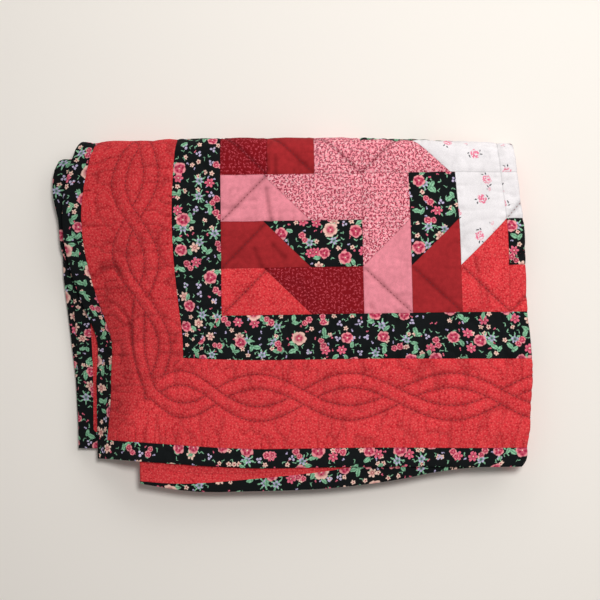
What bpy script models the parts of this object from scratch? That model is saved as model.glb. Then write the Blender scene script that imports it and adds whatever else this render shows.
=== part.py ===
"""A patchwork quilt folded into a pack: in three across its width, then twice over the top.

Units are metres. The pack lies on the plane z = 0 with its patchwork face up, its length
along X and its hem towards -Y. The quilted sheet is one solid, and the binding sewn round
its four edges is another. Both start as a flat slab in cloth coordinates: u runs across the
quilt, v runs up it and w is the height off the middle of the cloth. The fold then carries
each point of the slab to its place in the pack.
"""

import math

import bmesh
import bpy
import numpy as np

COLLECTION = "patchwork_quilt"

# The flat quilt
PATCH = 0.0508
BLOCK = 3 * PATCH
BLOCKS_ACROSS = 6
BLOCKS_UP = 7
RED_BORDER = 0.095
BINDING = 0.020
FRAME_WIDTH = PATCH + RED_BORDER + BINDING
QUILT_WIDTH = BLOCKS_ACROSS * BLOCK + 2 * FRAME_WIDTH
QUILT_HEIGHT = BLOCKS_UP * BLOCK + 2 * FRAME_WIDTH
THICKNESS = 0.0028
SEAM_GAP = 0.0003

# The fold across: L1 lies on L2 and L2 on L3, a layer pitch apart
PITCH = 0.0034
RIGHT_FOLD = 0.4855
LEFT_FOLD = 0.080
HALF_TURN = math.pi * PITCH / 2
SECOND_START = RIGHT_FOLD + HALF_TURN
SECOND_END = SECOND_START + RIGHT_FOLD - LEFT_FOLD
THIRD_START = SECOND_END + HALF_TURN

# The two folds over the top, each of the three layers together
BUNDLE = 3 * PITCH
NEAR_FOLD = 0.022
NEAR_FOLD_SLANT = 1.55
TOP_FOLD = 0.3405
TOP_FOLD_LINE = [
    # (place along X from the left edge, height of the turn above the hem)
    (0.000, 0.3405),
    (0.080, 0.3415),
    (0.165, 0.3422),
    (0.245, 0.3418),
    (0.325, 0.3398),
    (0.405, 0.3364),
    (0.4855, 0.3325),
]
TOP_RADIUS = BUNDLE + 2.5 * PITCH
INNER_RADIUS = 1.5 * PITCH

# How the left bound edge strays to the right of straight, in order along the folded height
LEFT_EDGE = [
    # (height up the cloth, distance to the right)
    (0.000, 0.030),
    (0.075, 0.0285),
    (0.150, 0.0265),
    (0.182, 0.0135),
    (0.209, 0.004),
    (0.293, -0.006),
    (0.331, 0.001),
    (0.372, 0.012),
    (0.400, 0.006),
    (0.470, -0.004),
    (0.560, 0.000),
    (0.715, 0.008),
    (0.800, 0.004),
    (1.000, -0.010),
    (1.050, -0.004),
    (1.062, -0.010),
    (1.078, -0.018),
    (1.100, -0.020),
    (1.135, -0.0135),
    (1.168, -0.010),
    (1.187, -0.002),
    (1.235, 0.003),
    (1.290, 0.006),
    (1.400, 0.008),
]

# How far the second layer has slipped out below the hem of the first, along the pack
SLIP = [
    # (place along X from the left edge, slip downwards)
    (0.080, 0.024),
    (0.130, 0.028),
    (0.190, 0.025),
    (0.290, 0.0215),
    (0.356, 0.010),
    (0.388, 0.000),
    (0.430, -0.004),
    (0.4855, 0.000),
]
THIRD_LAYER_SLIP = 0.85
THIRD_SLIP_BLEND = 0.05

# How the right fold bulges, and how the hem lifts towards the left
RIGHT_BULGE = [
    # (height up the pack, distance to the right)
    (0.000, -0.012),
    (0.010, -0.003),
    (0.040, 0.003),
    (0.080, 0.0065),
    (0.098, 0.009),
    (0.127, 0.008),
    (0.165, 0.0056),
    (0.265, 0.0045),
    (0.310, 0.000),
    (0.340, -0.0026),
]
BULGE_START = 0.320
HEM_LIFT = 0.0035
HEM_LIFT_LEFT = 0.013
HEM_LIFT_END = 0.220
HEM_REACH = (0.090, 0.165)

# Sags: past the left fold four layers close up, at the right the third layer ends,
# and the hem hangs a little past the near fold
LEFT_SAG_LENGTH = 0.052
LEFT_SAG_LOW = (0.150, 1.0)
LEFT_SAG_HIGH = (0.290, 0.35)
LEFT_SAG_LEVELS = [
    # (height in the pack, drop)
    (0.0034, 0.000),
    (0.0170, 0.011),
    (0.0238, 0.011),
    (0.0374, 0.022),
]
RIGHT_SAG_START = 0.425
RIGHT_SAG_LENGTH = 0.050
RIGHT_SAG_LEVELS = [
    (0.0068, 0.000),
    (0.0136, 0.003),
    (0.0272, 0.003),
    (0.0340, 0.006),
]
HEM_DROOP = 0.004
HEM_DROOP_START = 0.015
HEM_DROOP_LENGTH = 0.040

# Raised creases of the top layer
CREASES = [
    # (start x, start y, end x, end y, half width, height)
    (0.0407, 0.186, 0.0653, 0.169, 0.009, 0.0022),
    (0.0590, 0.207, 0.1100, 0.154, 0.009, 0.0026),
    (0.0740, 0.188, 0.0920, 0.163, 0.008, 0.0018),
    (0.0960, 0.153, 0.1240, 0.147, 0.009, 0.0020),
    (0.0728, 0.135, 0.0824, 0.091, 0.010, 0.0026),
    (0.0240, 0.289, 0.0530, 0.255, 0.009, 0.0016),
    (0.4620, 0.112, 0.4510, 0.029, 0.010, 0.0024),
    (0.4367, 0.063, 0.4340, 0.040, 0.009, 0.0016),
]

# Hand quilting of the top layer
STITCH_DEPTH = 0.0009
STITCH_WIDTH = 0.0045
CABLE_CENTRE = BINDING + RED_BORDER / 2
CABLE_HALF_WAVE = 0.0935
CABLE_SWING = 0.018
CABLE_HALF_WIDTH = 0.0065

# Rows and columns of the mesh, close together where the margins sag and at the hem
CLOSE_COLUMNS_END = 0.0913
CLOSE_ROWS_END = 0.0675
MIDDLE_COLUMN = 0.25
THIRD_LAYER_STEPS = 5
TURN_STEPS = 3
TOP_TURN_STEPS = 7
HIDDEN_STEPS = 4
ROWS_TO_TOP = 15
LAST_STEPS = 8
FINE_CUTS = 2
FINE_OVER = 0.018
BINDING_ROLL = 0.0025
BINDING_RIM = 0.45


def smoothstep(t):
    """0 below 0, 1 above 1 and a smooth rise between."""
    t = np.clip(t, 0.0, 1.0)
    return t * t * (3.0 - 2.0 * t)


def along(table, place):
    """The value of a two-column table at a place, with smooth bends at its rows."""
    places, values = np.array(table).T
    slopes = np.gradient(values, places)
    row = np.clip(np.searchsorted(places, place) - 1, 0, len(places) - 2)
    step = places[row + 1] - places[row]
    t = np.clip((place - places[row]) / step, 0.0, 1.0)
    rise = values[row + 1] - values[row]
    bend_in = step * slopes[row] - rise
    bend_out = rise - step * slopes[row + 1]
    return values[row] + t * rise + t * (1 - t) * ((1 - t) * bend_in + t * bend_out)


def levels(table, height):
    """The drop of each level of the pack, straight between the rows of its table."""
    places, values = np.array(table).T
    return np.interp(height, places, values)


def top_fold(x):
    """Where the top fold begins: it is crowned, and lower towards the right."""
    return along(TOP_FOLD_LINE, np.clip(x, 0.0, RIGHT_FOLD))


def near_fold(top):
    """Where the fold at the hem turns: it slants more than the top fold, so that the ends meet."""
    return NEAR_FOLD + NEAR_FOLD_SLANT * (top - TOP_FOLD)


def slip(u):
    """How far each strip of the cloth has slid down over the folds."""
    second_x = RIGHT_FOLD - (u - SECOND_START)
    third_x = LEFT_FOLD + (u - THIRD_START)
    second = along(SLIP, np.clip(second_x, LEFT_FOLD, RIGHT_FOLD))
    third = along(SLIP, np.clip(third_x, LEFT_FOLD, RIGHT_FOLD))
    start = SLIP[0][1]
    blend = smoothstep((third_x - LEFT_FOLD) / THIRD_SLIP_BLEND)
    third = start + (third * THIRD_LAYER_SLIP - start) * blend
    middle = (SECOND_END + THIRD_START) / 2
    return -np.where(u < SECOND_START, 0.0, np.where(u < middle, second, third))


def turns_of(x):
    """The lengths along the folded height at which each turn starts and ends."""
    top = top_fold(x)
    straight = top - near_fold(top)
    top_end = top + math.pi * TOP_RADIUS
    near_start = top_end + straight
    near_end = near_start + math.pi * INNER_RADIUS
    inner_start = near_end + straight
    return top, top_end, near_start, near_end, inner_start, inner_start + math.pi * INNER_RADIUS


def fold_across(u, v, w):
    """x, and the height within the bundle of three layers."""
    half = PITCH / 2
    right = np.clip((u - RIGHT_FOLD) / half, 0.0, math.pi)
    left = np.clip((u - SECOND_END) / half, 0.0, math.pi)
    back = np.clip(u - SECOND_START, 0.0, RIGHT_FOLD - LEFT_FOLD)
    x = np.minimum(u, RIGHT_FOLD) + (half + w) * np.sin(right) - back
    x = x - (half - w) * np.sin(left) + np.maximum(u - THIRD_START, 0.0)
    upper = 2 * PITCH + (half + w) * np.cos(right)
    lower = PITCH + (half - w) * np.cos(left)
    stray = along(LEFT_EDGE, v) * (1.0 - u / FRAME_WIDTH)
    x = x + np.where(u < FRAME_WIDTH, stray, 0.0)
    return x, np.where(u < (SECOND_START + SECOND_END) / 2, upper, lower)


def fold_over(length, h, x):
    """y and z of a point at a length along the folded height."""
    top, top_end, near_start, near_end, inner_start, inner_end = turns_of(x)
    over = np.clip((length - top) / TOP_RADIUS, 0.0, math.pi)
    near = np.clip((length - near_start) / INNER_RADIUS, 0.0, math.pi)
    inner = np.clip((length - inner_start) / INNER_RADIUS, 0.0, math.pi)
    straight = top - near_fold(top)
    y = np.minimum(length, top) + (BUNDLE + h) * np.sin(over)
    y = y - np.clip(length - top_end, 0.0, straight) - h * np.sin(near)
    y = y + np.clip(length - near_end, 0.0, straight) + (BUNDLE - h) * np.sin(inner)
    y = y - np.maximum(length - inner_end, 0.0)
    outer_z = 2 * BUNDLE + (BUNDLE + h) * np.cos(over)
    near_z = BUNDLE - h * np.cos(near)
    inner_z = 2 * BUNDLE - (BUNDLE - h) * np.cos(inner)
    z = np.where(length < (top_end + near_start) / 2, outer_z, near_z)
    return y, np.where(length > (near_end + inner_start) / 2, inner_z, z)


def settle(x, y, z):
    """The uneven outline of the pack, and where its margins sag."""
    x = x + along(RIGHT_BULGE, y) * smoothstep((x - BULGE_START) / (RIGHT_FOLD - BULGE_START))
    lift = HEM_LIFT + HEM_LIFT_LEFT * (1.0 - smoothstep(x / HEM_LIFT_END))
    reach_start, reach_end = HEM_REACH
    y = y + lift * (1.0 - smoothstep((y - reach_start) / (reach_end - reach_start)))
    low, most = LEFT_SAG_LOW
    high, least = LEFT_SAG_HIGH
    share = most + (least - most) * smoothstep((y - low) / (high - low))
    left = share * smoothstep((LEFT_FOLD - PITCH - x) / LEFT_SAG_LENGTH)
    right = smoothstep((x - RIGHT_SAG_START) / RIGHT_SAG_LENGTH)
    droop = HEM_DROOP * smoothstep((HEM_DROOP_START - y) / HEM_DROOP_LENGTH)
    drop = left * levels(LEFT_SAG_LEVELS, z) + right * levels(RIGHT_SAG_LEVELS, z)
    return x, y, z - drop - droop * np.clip(z / (2 * BUNDLE), 0.0, 1.0)


def crease_height(x, y):
    """The ridges of the top layer, each fading out at its ends."""
    total = np.zeros_like(x)
    for start_x, start_y, end_x, end_y, half_width, height in CREASES:
        run = np.hypot(end_x - start_x, end_y - start_y)
        way_x, way_y = (end_x - start_x) / run, (end_y - start_y) / run
        down = (x - start_x) * way_x + (y - start_y) * way_y
        off = (y - start_y) * way_x - (x - start_x) * way_y
        fade = smoothstep((down + half_width) / (2 * half_width))
        fade = fade * smoothstep((run + half_width - down) / (2 * half_width))
        total = total + height * fade * np.exp(-((off / half_width) ** 2))
    return total


def cable(run, across):
    """The distance to the nearest line of the two-strand cable in the red border."""
    swing = CABLE_SWING * np.sin(math.pi * run / CABLE_HALF_WAVE)
    centre = across - CABLE_CENTRE
    strands = [abs(centre - side * swing) for side in (-1.0, 1.0)]
    return np.minimum(*[abs(strand - CABLE_HALF_WIDTH) for strand in strands])


def block_lines(u, v):
    """The distance to the nearest seam or stitched line of the patchwork blocks.

    A block is three strips. Each strip is two fabrics joined on a slant, with a line of
    stitches on the opposite slant, and every other block is turned a quarter round.
    """
    across, up = (u - FRAME_WIDTH) / BLOCK, (v - FRAME_WIDTH) / BLOCK
    turned = (np.floor(across) + np.floor(up)) % 2 == 1
    s, t = (across % 1.0) * BLOCK, (up % 1.0) * BLOCK
    s, t = np.where(turned, t, s), np.where(turned, BLOCK - s, t)
    in_strip = t % PATCH
    seam = np.minimum(in_strip, PATCH - in_strip)
    ends = np.minimum(s, BLOCK - s)
    slant = abs(s + in_strip - 2 * PATCH) / math.sqrt(2)
    stitch = np.where(s < PATCH, abs(s - in_strip) / math.sqrt(2), PATCH)
    return np.minimum(np.minimum(seam, ends), np.minimum(slant, stitch))


def quilting(u, v):
    """How far the stitches draw the face in, from 0 to STITCH_DEPTH."""
    side, hem = np.minimum(u, QUILT_WIDTH - u), np.minimum(v, QUILT_HEIGHT - v)
    nearest = np.minimum(side, hem)
    bands = [BINDING, BINDING + RED_BORDER, FRAME_WIDTH]
    off = np.min([abs(nearest - band) for band in bands], axis=0)
    run = np.where(side < hem, v, u)
    off = np.minimum(off, np.where(nearest < BINDING + RED_BORDER, cable(run, nearest), off))
    off = np.where(nearest > FRAME_WIDTH, np.minimum(off, block_lines(u, v)), off)
    return STITCH_DEPTH * np.exp(-((off / STITCH_WIDTH) ** 2))


def place(u, v, face, half_thickness):
    """Carries points of the flat cloth into the pack. face is 1 on the patchwork, -1 behind."""
    length = v + slip(u)
    flat_x, _ = fold_across(u, v, 0.0)
    on_top = (face > 0) & (u < RIGHT_FOLD) & (length < top_fold(flat_x) + TOP_RADIUS)
    w = face * half_thickness - np.where(on_top, quilting(u, v), 0.0)
    x, h = fold_across(u, v, w)
    y, z = fold_over(length, h, x)
    x, y, z = settle(x, y, z)
    fade = 1.0 - smoothstep((length - TOP_FOLD + TOP_RADIUS) / TOP_RADIUS)
    z = z + np.where(on_top, crease_height(x, y) * fade, 0.0)
    return np.stack([x, y, z], axis=-1)


def even(start, end, steps):
    """Equal steps from start up to but without end."""
    return list(np.linspace(start, end, steps, endpoint=False))


def column_lines():
    """The u of each column of the sheet: denser where the margins sag, and on the seams."""
    edge = BINDING + SEAM_GAP / 2
    border_end = BINDING + RED_BORDER
    first = even(edge, CLOSE_COLUMNS_END, 6) + [CLOSE_COLUMNS_END]
    first += even(border_end, FRAME_WIDTH, 2)
    first += even(FRAME_WIDTH, FRAME_WIDTH + 5 * PATCH, 10)
    first += even(FRAME_WIDTH + 5 * PATCH, FRAME_WIDTH + 6 * PATCH, 4)
    first += [FRAME_WIDTH + 6 * PATCH]
    turn = even(RIGHT_FOLD, SECOND_START, TURN_STEPS)
    back = [FRAME_WIDTH + 6 * PATCH - n * PATCH / 4 for n in range(4)]
    back += [FRAME_WIDTH + n * PATCH for n in (5, 4, 3, 1, 0)]
    second = [SECOND_START] + [SECOND_START + RIGHT_FOLD - x for x in back]
    turn_back = even(SECOND_END, THIRD_START, TURN_STEPS)
    third = even(THIRD_START, QUILT_WIDTH - edge, THIRD_LAYER_STEPS) + [QUILT_WIDTH - edge]
    return first + turn + second + turn_back + third


def row_lines(u):
    """The v of each row of the sheet in the column at u, which follows the turns there."""
    edge = BINDING + SEAM_GAP / 2
    slid = slip(u)
    x, _ = fold_across(u, 0.0, 0.0)
    top, top_end, near_start, near_end, inner_start, inner_end = (length - slid for length in turns_of(x))
    rows = even(edge, CLOSE_ROWS_END, 4) + even(CLOSE_ROWS_END, BINDING + RED_BORDER, 2)
    rows += even(BINDING + RED_BORDER, FRAME_WIDTH + BLOCK, 8)
    rows += even(FRAME_WIDTH + BLOCK, top, ROWS_TO_TOP - len(rows))
    rows += even(top, top_end, TOP_TURN_STEPS)
    rows += even(top_end, near_start, HIDDEN_STEPS)
    rows += even(near_start, near_end, TURN_STEPS)
    rows += even(near_end, inner_start, HIDDEN_STEPS)
    rows += even(inner_start, inner_end, TURN_STEPS)
    rows += even(inner_end, QUILT_HEIGHT - edge, LAST_STEPS)
    return rows + [QUILT_HEIGHT - edge]


def with_binding(lines, full_length):
    """Swaps the outermost lines of the sheet for the lines of the binding beyond them."""
    inner = BINDING - SEAM_GAP / 2
    start = [0.0, BINDING_ROLL, inner]
    end = [full_length - inner, full_length - BINDING_ROLL, full_length]
    return start + list(lines[1:-1]) + end


def flat_grid(columns, rows):
    """A flat grid whose points hold whole numbers: their column, their row, and -1 for the back."""
    bm = bmesh.new()
    bmesh.ops.create_grid(bm, x_segments=columns, y_segments=rows, size=1.0)
    for vert in bm.verts:
        vert.co.x = round((vert.co.x + 1.0) / 2 * columns)
        vert.co.y = round((vert.co.y + 1.0) / 2 * rows)
        vert.co.z = -1.0
    return bm


def give_thickness(bm):
    """Extrudes the flat faces upwards into a closed slab with its faces outwards."""
    made = bmesh.ops.extrude_face_region(bm, geom=bm.faces[:])
    for item in made["geom"]:
        if isinstance(item, bmesh.types.BMVert):
            item.co.z = 1.0
    bmesh.ops.recalc_face_normals(bm, faces=bm.faces[:])


def value_at(lines, index):
    """The line at an index, and between two lines where the index is not whole."""
    return np.interp(index, range(len(lines)), lines)


def make_fine(bm, columns, rows, column_end, row_end):
    """Cuts the long edges of the patchwork face where it shows on top of the pack."""
    long_edges = []
    for edge in bm.edges:
        (i, j, side), (k, m, other_side) = edge.verts[0].co, edge.verts[1].co
        if min(side, other_side) < 0 or max(i, k) > column_end or max(j, m) > row_end:
            continue
        if max(i, k) == 0 or max(j, m) == 0:
            continue
        width = abs(value_at(columns, i) - value_at(columns, k))
        height = abs(value_at(rows, j) - value_at(rows, m))
        if width + height > FINE_OVER:
            long_edges.append(edge)
    bmesh.ops.subdivide_edges(bm, edges=long_edges, cuts=FINE_CUTS, use_grid_fill=True)


def fold_slab(bm, columns, rows_at, half_thickness_at):
    """Moves each point of a slab from its column and row to its place in the pack."""
    index = np.array([vert.co for vert in bm.verts])
    u = value_at(columns, index[:, 0])
    v = np.array([value_at(rows_at(column), row) for column, row in zip(u, index[:, 1])])
    placed = place(u, v, np.sign(index[:, 2]), half_thickness_at(u, v))
    for vert, co in zip(bm.verts, placed):
        vert.co = co
    bmesh.ops.triangulate(bm, faces=bm.faces[:])


def sheet_mesh():
    """The quilted sheet within its binding."""
    columns = column_lines()
    rows = row_lines(MIDDLE_COLUMN)
    bm = flat_grid(len(columns) - 1, len(rows) - 1)
    give_thickness(bm)
    make_fine(bm, columns, rows, columns.index(RIGHT_FOLD), ROWS_TO_TOP)
    fold_slab(bm, columns, row_lines, lambda u, v: THICKNESS / 2)
    return bm


def binding_mesh():
    """The binding: a frame of doubled cloth round the sheet, rolled at its outer edge."""
    columns = with_binding(column_lines(), QUILT_WIDTH)

    def rows_at(u):
        return with_binding(row_lines(u), QUILT_HEIGHT)

    def half_thickness_at(u, v):
        off = np.minimum(np.minimum(u, QUILT_WIDTH - u), np.minimum(v, QUILT_HEIGHT - v))
        roll = np.clip(1.0 - off / BINDING_ROLL, 0.0, 1.0)
        return THICKNESS / 2 * (1.0 - (1.0 - BINDING_RIM) * roll)

    last_column, last_row = len(columns) - 1, len(rows_at(MIDDLE_COLUMN)) - 1
    bm = flat_grid(last_column, last_row)
    inside = []
    for face in bm.faces:
        middle = face.calc_center_median()
        if 2 < middle.x < last_column - 2 and 2 < middle.y < last_row - 2:
            inside.append(face)
    bmesh.ops.delete(bm, geom=inside, context="FACES")
    give_thickness(bm)
    fold_slab(bm, columns, rows_at, half_thickness_at)
    return bm


def material(name, colour, roughness):
    """A plain Principled material."""
    made = bpy.data.materials.new(name)
    made.use_nodes = True
    shader = made.node_tree.nodes["Principled BSDF"]
    shader.inputs["Base Color"].default_value = (*colour, 1.0)
    shader.inputs["Roughness"].default_value = roughness
    shader.inputs["Metallic"].default_value = 0.0
    return made


def add_object(collection, name, bm, finish, shift):
    """One named object of the pack, moved so that the whole pack is centred on the origin."""
    mesh = bpy.data.meshes.new(name)
    bmesh.ops.translate(bm, verts=bm.verts[:], vec=shift)
    bm.to_mesh(mesh)
    bm.free()
    mesh.shade_smooth()
    mesh.materials.append(finish)
    made = bpy.data.objects.new(name, mesh)
    collection.objects.link(made)
    return made


def main():
    for old in list(bpy.data.objects):
        bpy.data.objects.remove(old, do_unlink=True)
    collection = bpy.data.collections.new(COLLECTION)
    bpy.context.scene.collection.children.link(collection)
    red_cotton = material("red_print_cotton", (0.60, 0.045, 0.055), 0.9)
    dark_cotton = material("dark_floral_cotton", (0.02, 0.015, 0.02), 0.9)
    pieces = [
        ("quilted_sheet", sheet_mesh(), red_cotton),
        ("binding", binding_mesh(), dark_cotton),
    ]
    points = np.array([vert.co for _, bm, _ in pieces for vert in bm.verts])
    low, high = points.min(axis=0), points.max(axis=0)
    middle = (low + high) / 2
    shift = (-middle[0], -middle[1], -low[2])
    for name, bm, finish in pieces:
        add_object(collection, name, bm, finish, shift)


main()
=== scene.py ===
"""A folded patchwork quilt: its printed cottons, its binding and its hand quilting.

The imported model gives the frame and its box. The quilt here is folded by the same rules as that
model, in metres, from cloth coordinates: u runs across the quilt, v runs up it, and w is the
height off the middle of the cloth. Every fabric is a procedural material that reads the cloth's
own UV maps.
"""

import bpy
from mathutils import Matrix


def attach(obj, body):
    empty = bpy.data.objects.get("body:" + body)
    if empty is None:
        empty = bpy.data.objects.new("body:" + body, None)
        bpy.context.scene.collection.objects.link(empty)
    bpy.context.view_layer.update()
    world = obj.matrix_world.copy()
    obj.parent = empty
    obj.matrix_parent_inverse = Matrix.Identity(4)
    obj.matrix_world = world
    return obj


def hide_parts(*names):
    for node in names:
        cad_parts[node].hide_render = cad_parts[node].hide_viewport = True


bl_info = {
    "name": "Folded patchwork quilt",
    "version": (1, 0, 0),
    "blender": (4, 5, 0),
    "location": "3D View > Sidebar > Quilt",
    "description": "A hand-quilted patchwork quilt folded into a pack, on a plain stage",
    "category": "Add Mesh",
}

import math

import bmesh
import bpy
import numpy as np
from bpy.props import FloatProperty, FloatVectorProperty, PointerProperty
from mathutils import Matrix, Vector

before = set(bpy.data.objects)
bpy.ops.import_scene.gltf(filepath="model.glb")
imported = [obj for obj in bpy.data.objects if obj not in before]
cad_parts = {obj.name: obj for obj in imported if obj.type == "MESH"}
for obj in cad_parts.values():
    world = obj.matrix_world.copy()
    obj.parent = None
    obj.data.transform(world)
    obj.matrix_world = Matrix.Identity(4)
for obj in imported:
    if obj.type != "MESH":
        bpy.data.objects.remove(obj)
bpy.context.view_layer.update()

# The flat quilt
PATCH = 0.0508
BLOCK = 3 * PATCH
BLOCKS_ACROSS = 6
BLOCKS_UP = 7
RED_BORDER = 0.095
BINDING = 0.020
BORDER_END = BINDING + RED_BORDER
FRAME_WIDTH = PATCH + BORDER_END
QUILT_WIDTH = BLOCKS_ACROSS * BLOCK + 2 * FRAME_WIDTH
QUILT_HEIGHT = BLOCKS_UP * BLOCK + 2 * FRAME_WIDTH
THICKNESS = 0.0028

# How far the slanted seams lie off the middle in the blocks that are not turned, and the block
# whose middle strip begins early, by seven of the mesh's finest cells
SLANT_SHIFT = PATCH / 10
EARLY_BLOCK = (1, 1)
EARLY_SEAM = 7 * PATCH / 30

# The fold across: the first layer lies on the second and that on the third, a pitch apart
PITCH = 0.0034
RIGHT_FOLD = 0.4855
LEFT_FOLD = 0.080
HALF_TURN = math.pi * PITCH / 2
SECOND_START = RIGHT_FOLD + HALF_TURN
SECOND_END = SECOND_START + RIGHT_FOLD - LEFT_FOLD
THIRD_START = SECOND_END + HALF_TURN

# The two folds over the top, each of the three layers together
BUNDLE = 3 * PITCH
NEAR_FOLD = 0.022
NEAR_FOLD_SLANT = 1.55
TOP_FOLD = 0.3405
TOP_FOLD_LINE = [
    # (place along X from the left edge, height of the turn above the hem)
    (0.000, 0.3405),
    (0.080, 0.3415),
    (0.165, 0.3422),
    (0.245, 0.3418),
    (0.325, 0.3398),
    (0.405, 0.3364),
    (0.4855, 0.3325),
]
TOP_RADIUS = BUNDLE + 2.5 * PITCH
INNER_RADIUS = 1.5 * PITCH

# How the left bound edge strays to the right of straight, in order along the folded height
LEFT_EDGE = [
    # (height up the cloth, distance to the right)
    (0.000, 0.030),
    (0.075, 0.0285),
    (0.150, 0.0265),
    (0.182, 0.0135),
    (0.209, 0.004),
    (0.293, -0.006),
    (0.331, 0.001),
    (0.372, 0.012),
    (0.400, 0.006),
    (0.470, -0.004),
    (0.560, 0.000),
    (0.715, 0.008),
    (0.800, 0.004),
    (1.000, -0.010),
    (1.050, -0.004),
    (1.062, -0.010),
    (1.078, -0.018),
    (1.100, -0.020),
    (1.135, -0.0135),
    (1.168, -0.010),
    (1.187, -0.002),
    (1.235, 0.003),
    (1.290, 0.006),
    (1.400, 0.008),
]

# How far the second layer has slipped out below the hem of the first, along the pack
SLIP = [
    # (place along X from the left edge, slip downwards)
    (0.080, 0.024),
    (0.130, 0.028),
    (0.190, 0.025),
    (0.290, 0.0215),
    (0.356, 0.013),
    (0.388, 0.0065),
    (0.430, 0.001),
    (0.4855, -0.001),
]
THIRD_LAYER_SLIP = 0.85
THIRD_SLIP_BLEND = 0.05

# How the right fold bulges, and how the hem lifts towards the left
RIGHT_BULGE = [
    # (height up the pack, distance to the right)
    (0.000, -0.006),
    (0.007, -0.0012),
    (0.013, 0.0002),
    (0.022, 0.0006),
    (0.040, 0.0038),
    (0.062, 0.0058),
    (0.080, 0.0076),
    (0.098, 0.0092),
    (0.127, 0.008),
    (0.165, 0.0056),
    (0.265, 0.0045),
    (0.310, 0.000),
    (0.340, -0.0026),
]
BULGE_START = 0.320
HEM_LIFT = 0.0035
HEM_LIFT_LEFT = 0.013
HEM_LIFT_END = 0.220
HEM_DROP = 0.0028
HEM_DROP_START = 0.300
HEM_REACH = (0.090, 0.165)
CORNER_TUCK = 0.0065
CORNER_TUCK_END = 0.075

# Sags: past the left fold four layers close up, at the right the third layer ends,
# and the hem hangs a little past the near fold
LEFT_SAG_LENGTH = 0.052
LEFT_SAG_LOW = (0.150, 1.0)
LEFT_SAG_HIGH = (0.290, 0.35)
LEFT_SAG_LEVELS = [
    # (height in the pack, drop)
    (0.0034, 0.000),
    (0.0170, 0.011),
    (0.0238, 0.011),
    (0.0374, 0.022),
]
RIGHT_SAG_START = 0.425
RIGHT_SAG_LENGTH = 0.050
RIGHT_SAG_LEVELS = [
    (0.0068, 0.000),
    (0.0136, 0.003),
    (0.0272, 0.003),
    (0.0340, 0.006),
]
HEM_DROOP = 0.004
HEM_DROOP_START = 0.015
HEM_DROOP_LENGTH = 0.040

# Creases of the top layer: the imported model's raised ones first, and then the finer ones, most
# of them sunken
CREASES = [
    # (start x, start y, end x, end y, half width, height)
    (0.0407, 0.186, 0.0653, 0.169, 0.009, 0.0022),
    (0.0590, 0.207, 0.1100, 0.154, 0.009, 0.0026),
    (0.0740, 0.188, 0.0920, 0.163, 0.008, 0.0018),
    (0.0960, 0.153, 0.1240, 0.147, 0.009, 0.0020),
    (0.0728, 0.135, 0.0824, 0.091, 0.010, 0.0026),
    (0.0240, 0.289, 0.0530, 0.255, 0.009, 0.0016),
    (0.4620, 0.112, 0.4510, 0.029, 0.010, 0.0024),
    (0.4367, 0.063, 0.4340, 0.040, 0.009, 0.0016),
    (0.2148, 0.3045, 0.2200, 0.2646, 0.0022, -0.0009),
    (0.2195, 0.3001, 0.2254, 0.2656, 0.0040, 0.0005),
    (0.1679, 0.2826, 0.1872, 0.2834, 0.0022, -0.0004),
    (0.1948, 0.2897, 0.2044, 0.2917, 0.0020, -0.0004),
    (0.1696, 0.2568, 0.2060, 0.2584, 0.0040, 0.0009),
    (0.2004, 0.2391, 0.2097, 0.2164, 0.0024, -0.0007),
    (0.2197, 0.2431, 0.2355, 0.2257, 0.0024, -0.0007),
    (0.2256, 0.3473, 0.2252, 0.3183, 0.0020, -0.0006),
    (0.2171, 0.3474, 0.2166, 0.3184, 0.0020, -0.0005),
    (0.3235, 0.1759, 0.3319, 0.1672, 0.0020, -0.0005),
    (0.3525, 0.1851, 0.3686, 0.1849, 0.0020, -0.0004),
    (0.4385, 0.2257, 0.4421, 0.2063, 0.0020, -0.0008),
    (0.4427, 0.2041, 0.4444, 0.1783, 0.0020, -0.0005),
    (0.4500, 0.1943, 0.4517, 0.1664, 0.0020, -0.0005),
    (0.4645, 0.0941, 0.4683, 0.0639, 0.0024, -0.0008),
    (0.4683, 0.0639, 0.4598, 0.0372, 0.0024, -0.0008),
    (0.4598, 0.0372, 0.4591, 0.0222, 0.0024, -0.0006),
    (0.4433, 0.0579, 0.4428, 0.0267, 0.0022, -0.0008),
    (0.0278, 0.2848, 0.0393, 0.2674, 0.0022, -0.0008),
    (0.0393, 0.2674, 0.0498, 0.2565, 0.0022, -0.0006),
    (0.0327, 0.2202, 0.0503, 0.2210, 0.0022, -0.0006),
    (0.0503, 0.2210, 0.0646, 0.2036, 0.0024, -0.0009),
    (0.0423, 0.1846, 0.0529, 0.1785, 0.0024, -0.0010),
    (0.0529, 0.1785, 0.0655, 0.1649, 0.0024, -0.0012),
    (0.0655, 0.1649, 0.0684, 0.1466, 0.0024, -0.0006),
    (0.0684, 0.1466, 0.0713, 0.1229, 0.0022, -0.0006),
    (0.0713, 0.1229, 0.0783, 0.0937, 0.0022, -0.0005),
    (0.0842, 0.1947, 0.0967, 0.1773, 0.0024, -0.0009),
    (0.0967, 0.1773, 0.1113, 0.1502, 0.0024, -0.0009),
    (0.0734, 0.1916, 0.0933, 0.1634, 0.0024, -0.0007),
    (0.1016, 0.1482, 0.1261, 0.1424, 0.0022, -0.0007),
    (0.0538, 0.1256, 0.0659, 0.1240, 0.0020, -0.0005),
    (0.0672, 0.1358, 0.0886, 0.1398, 0.0020, -0.0004),
]

# How many times deeper than its table says a sunken crease lies
SUNKEN_CREASE_GAIN = 2.0

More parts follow.
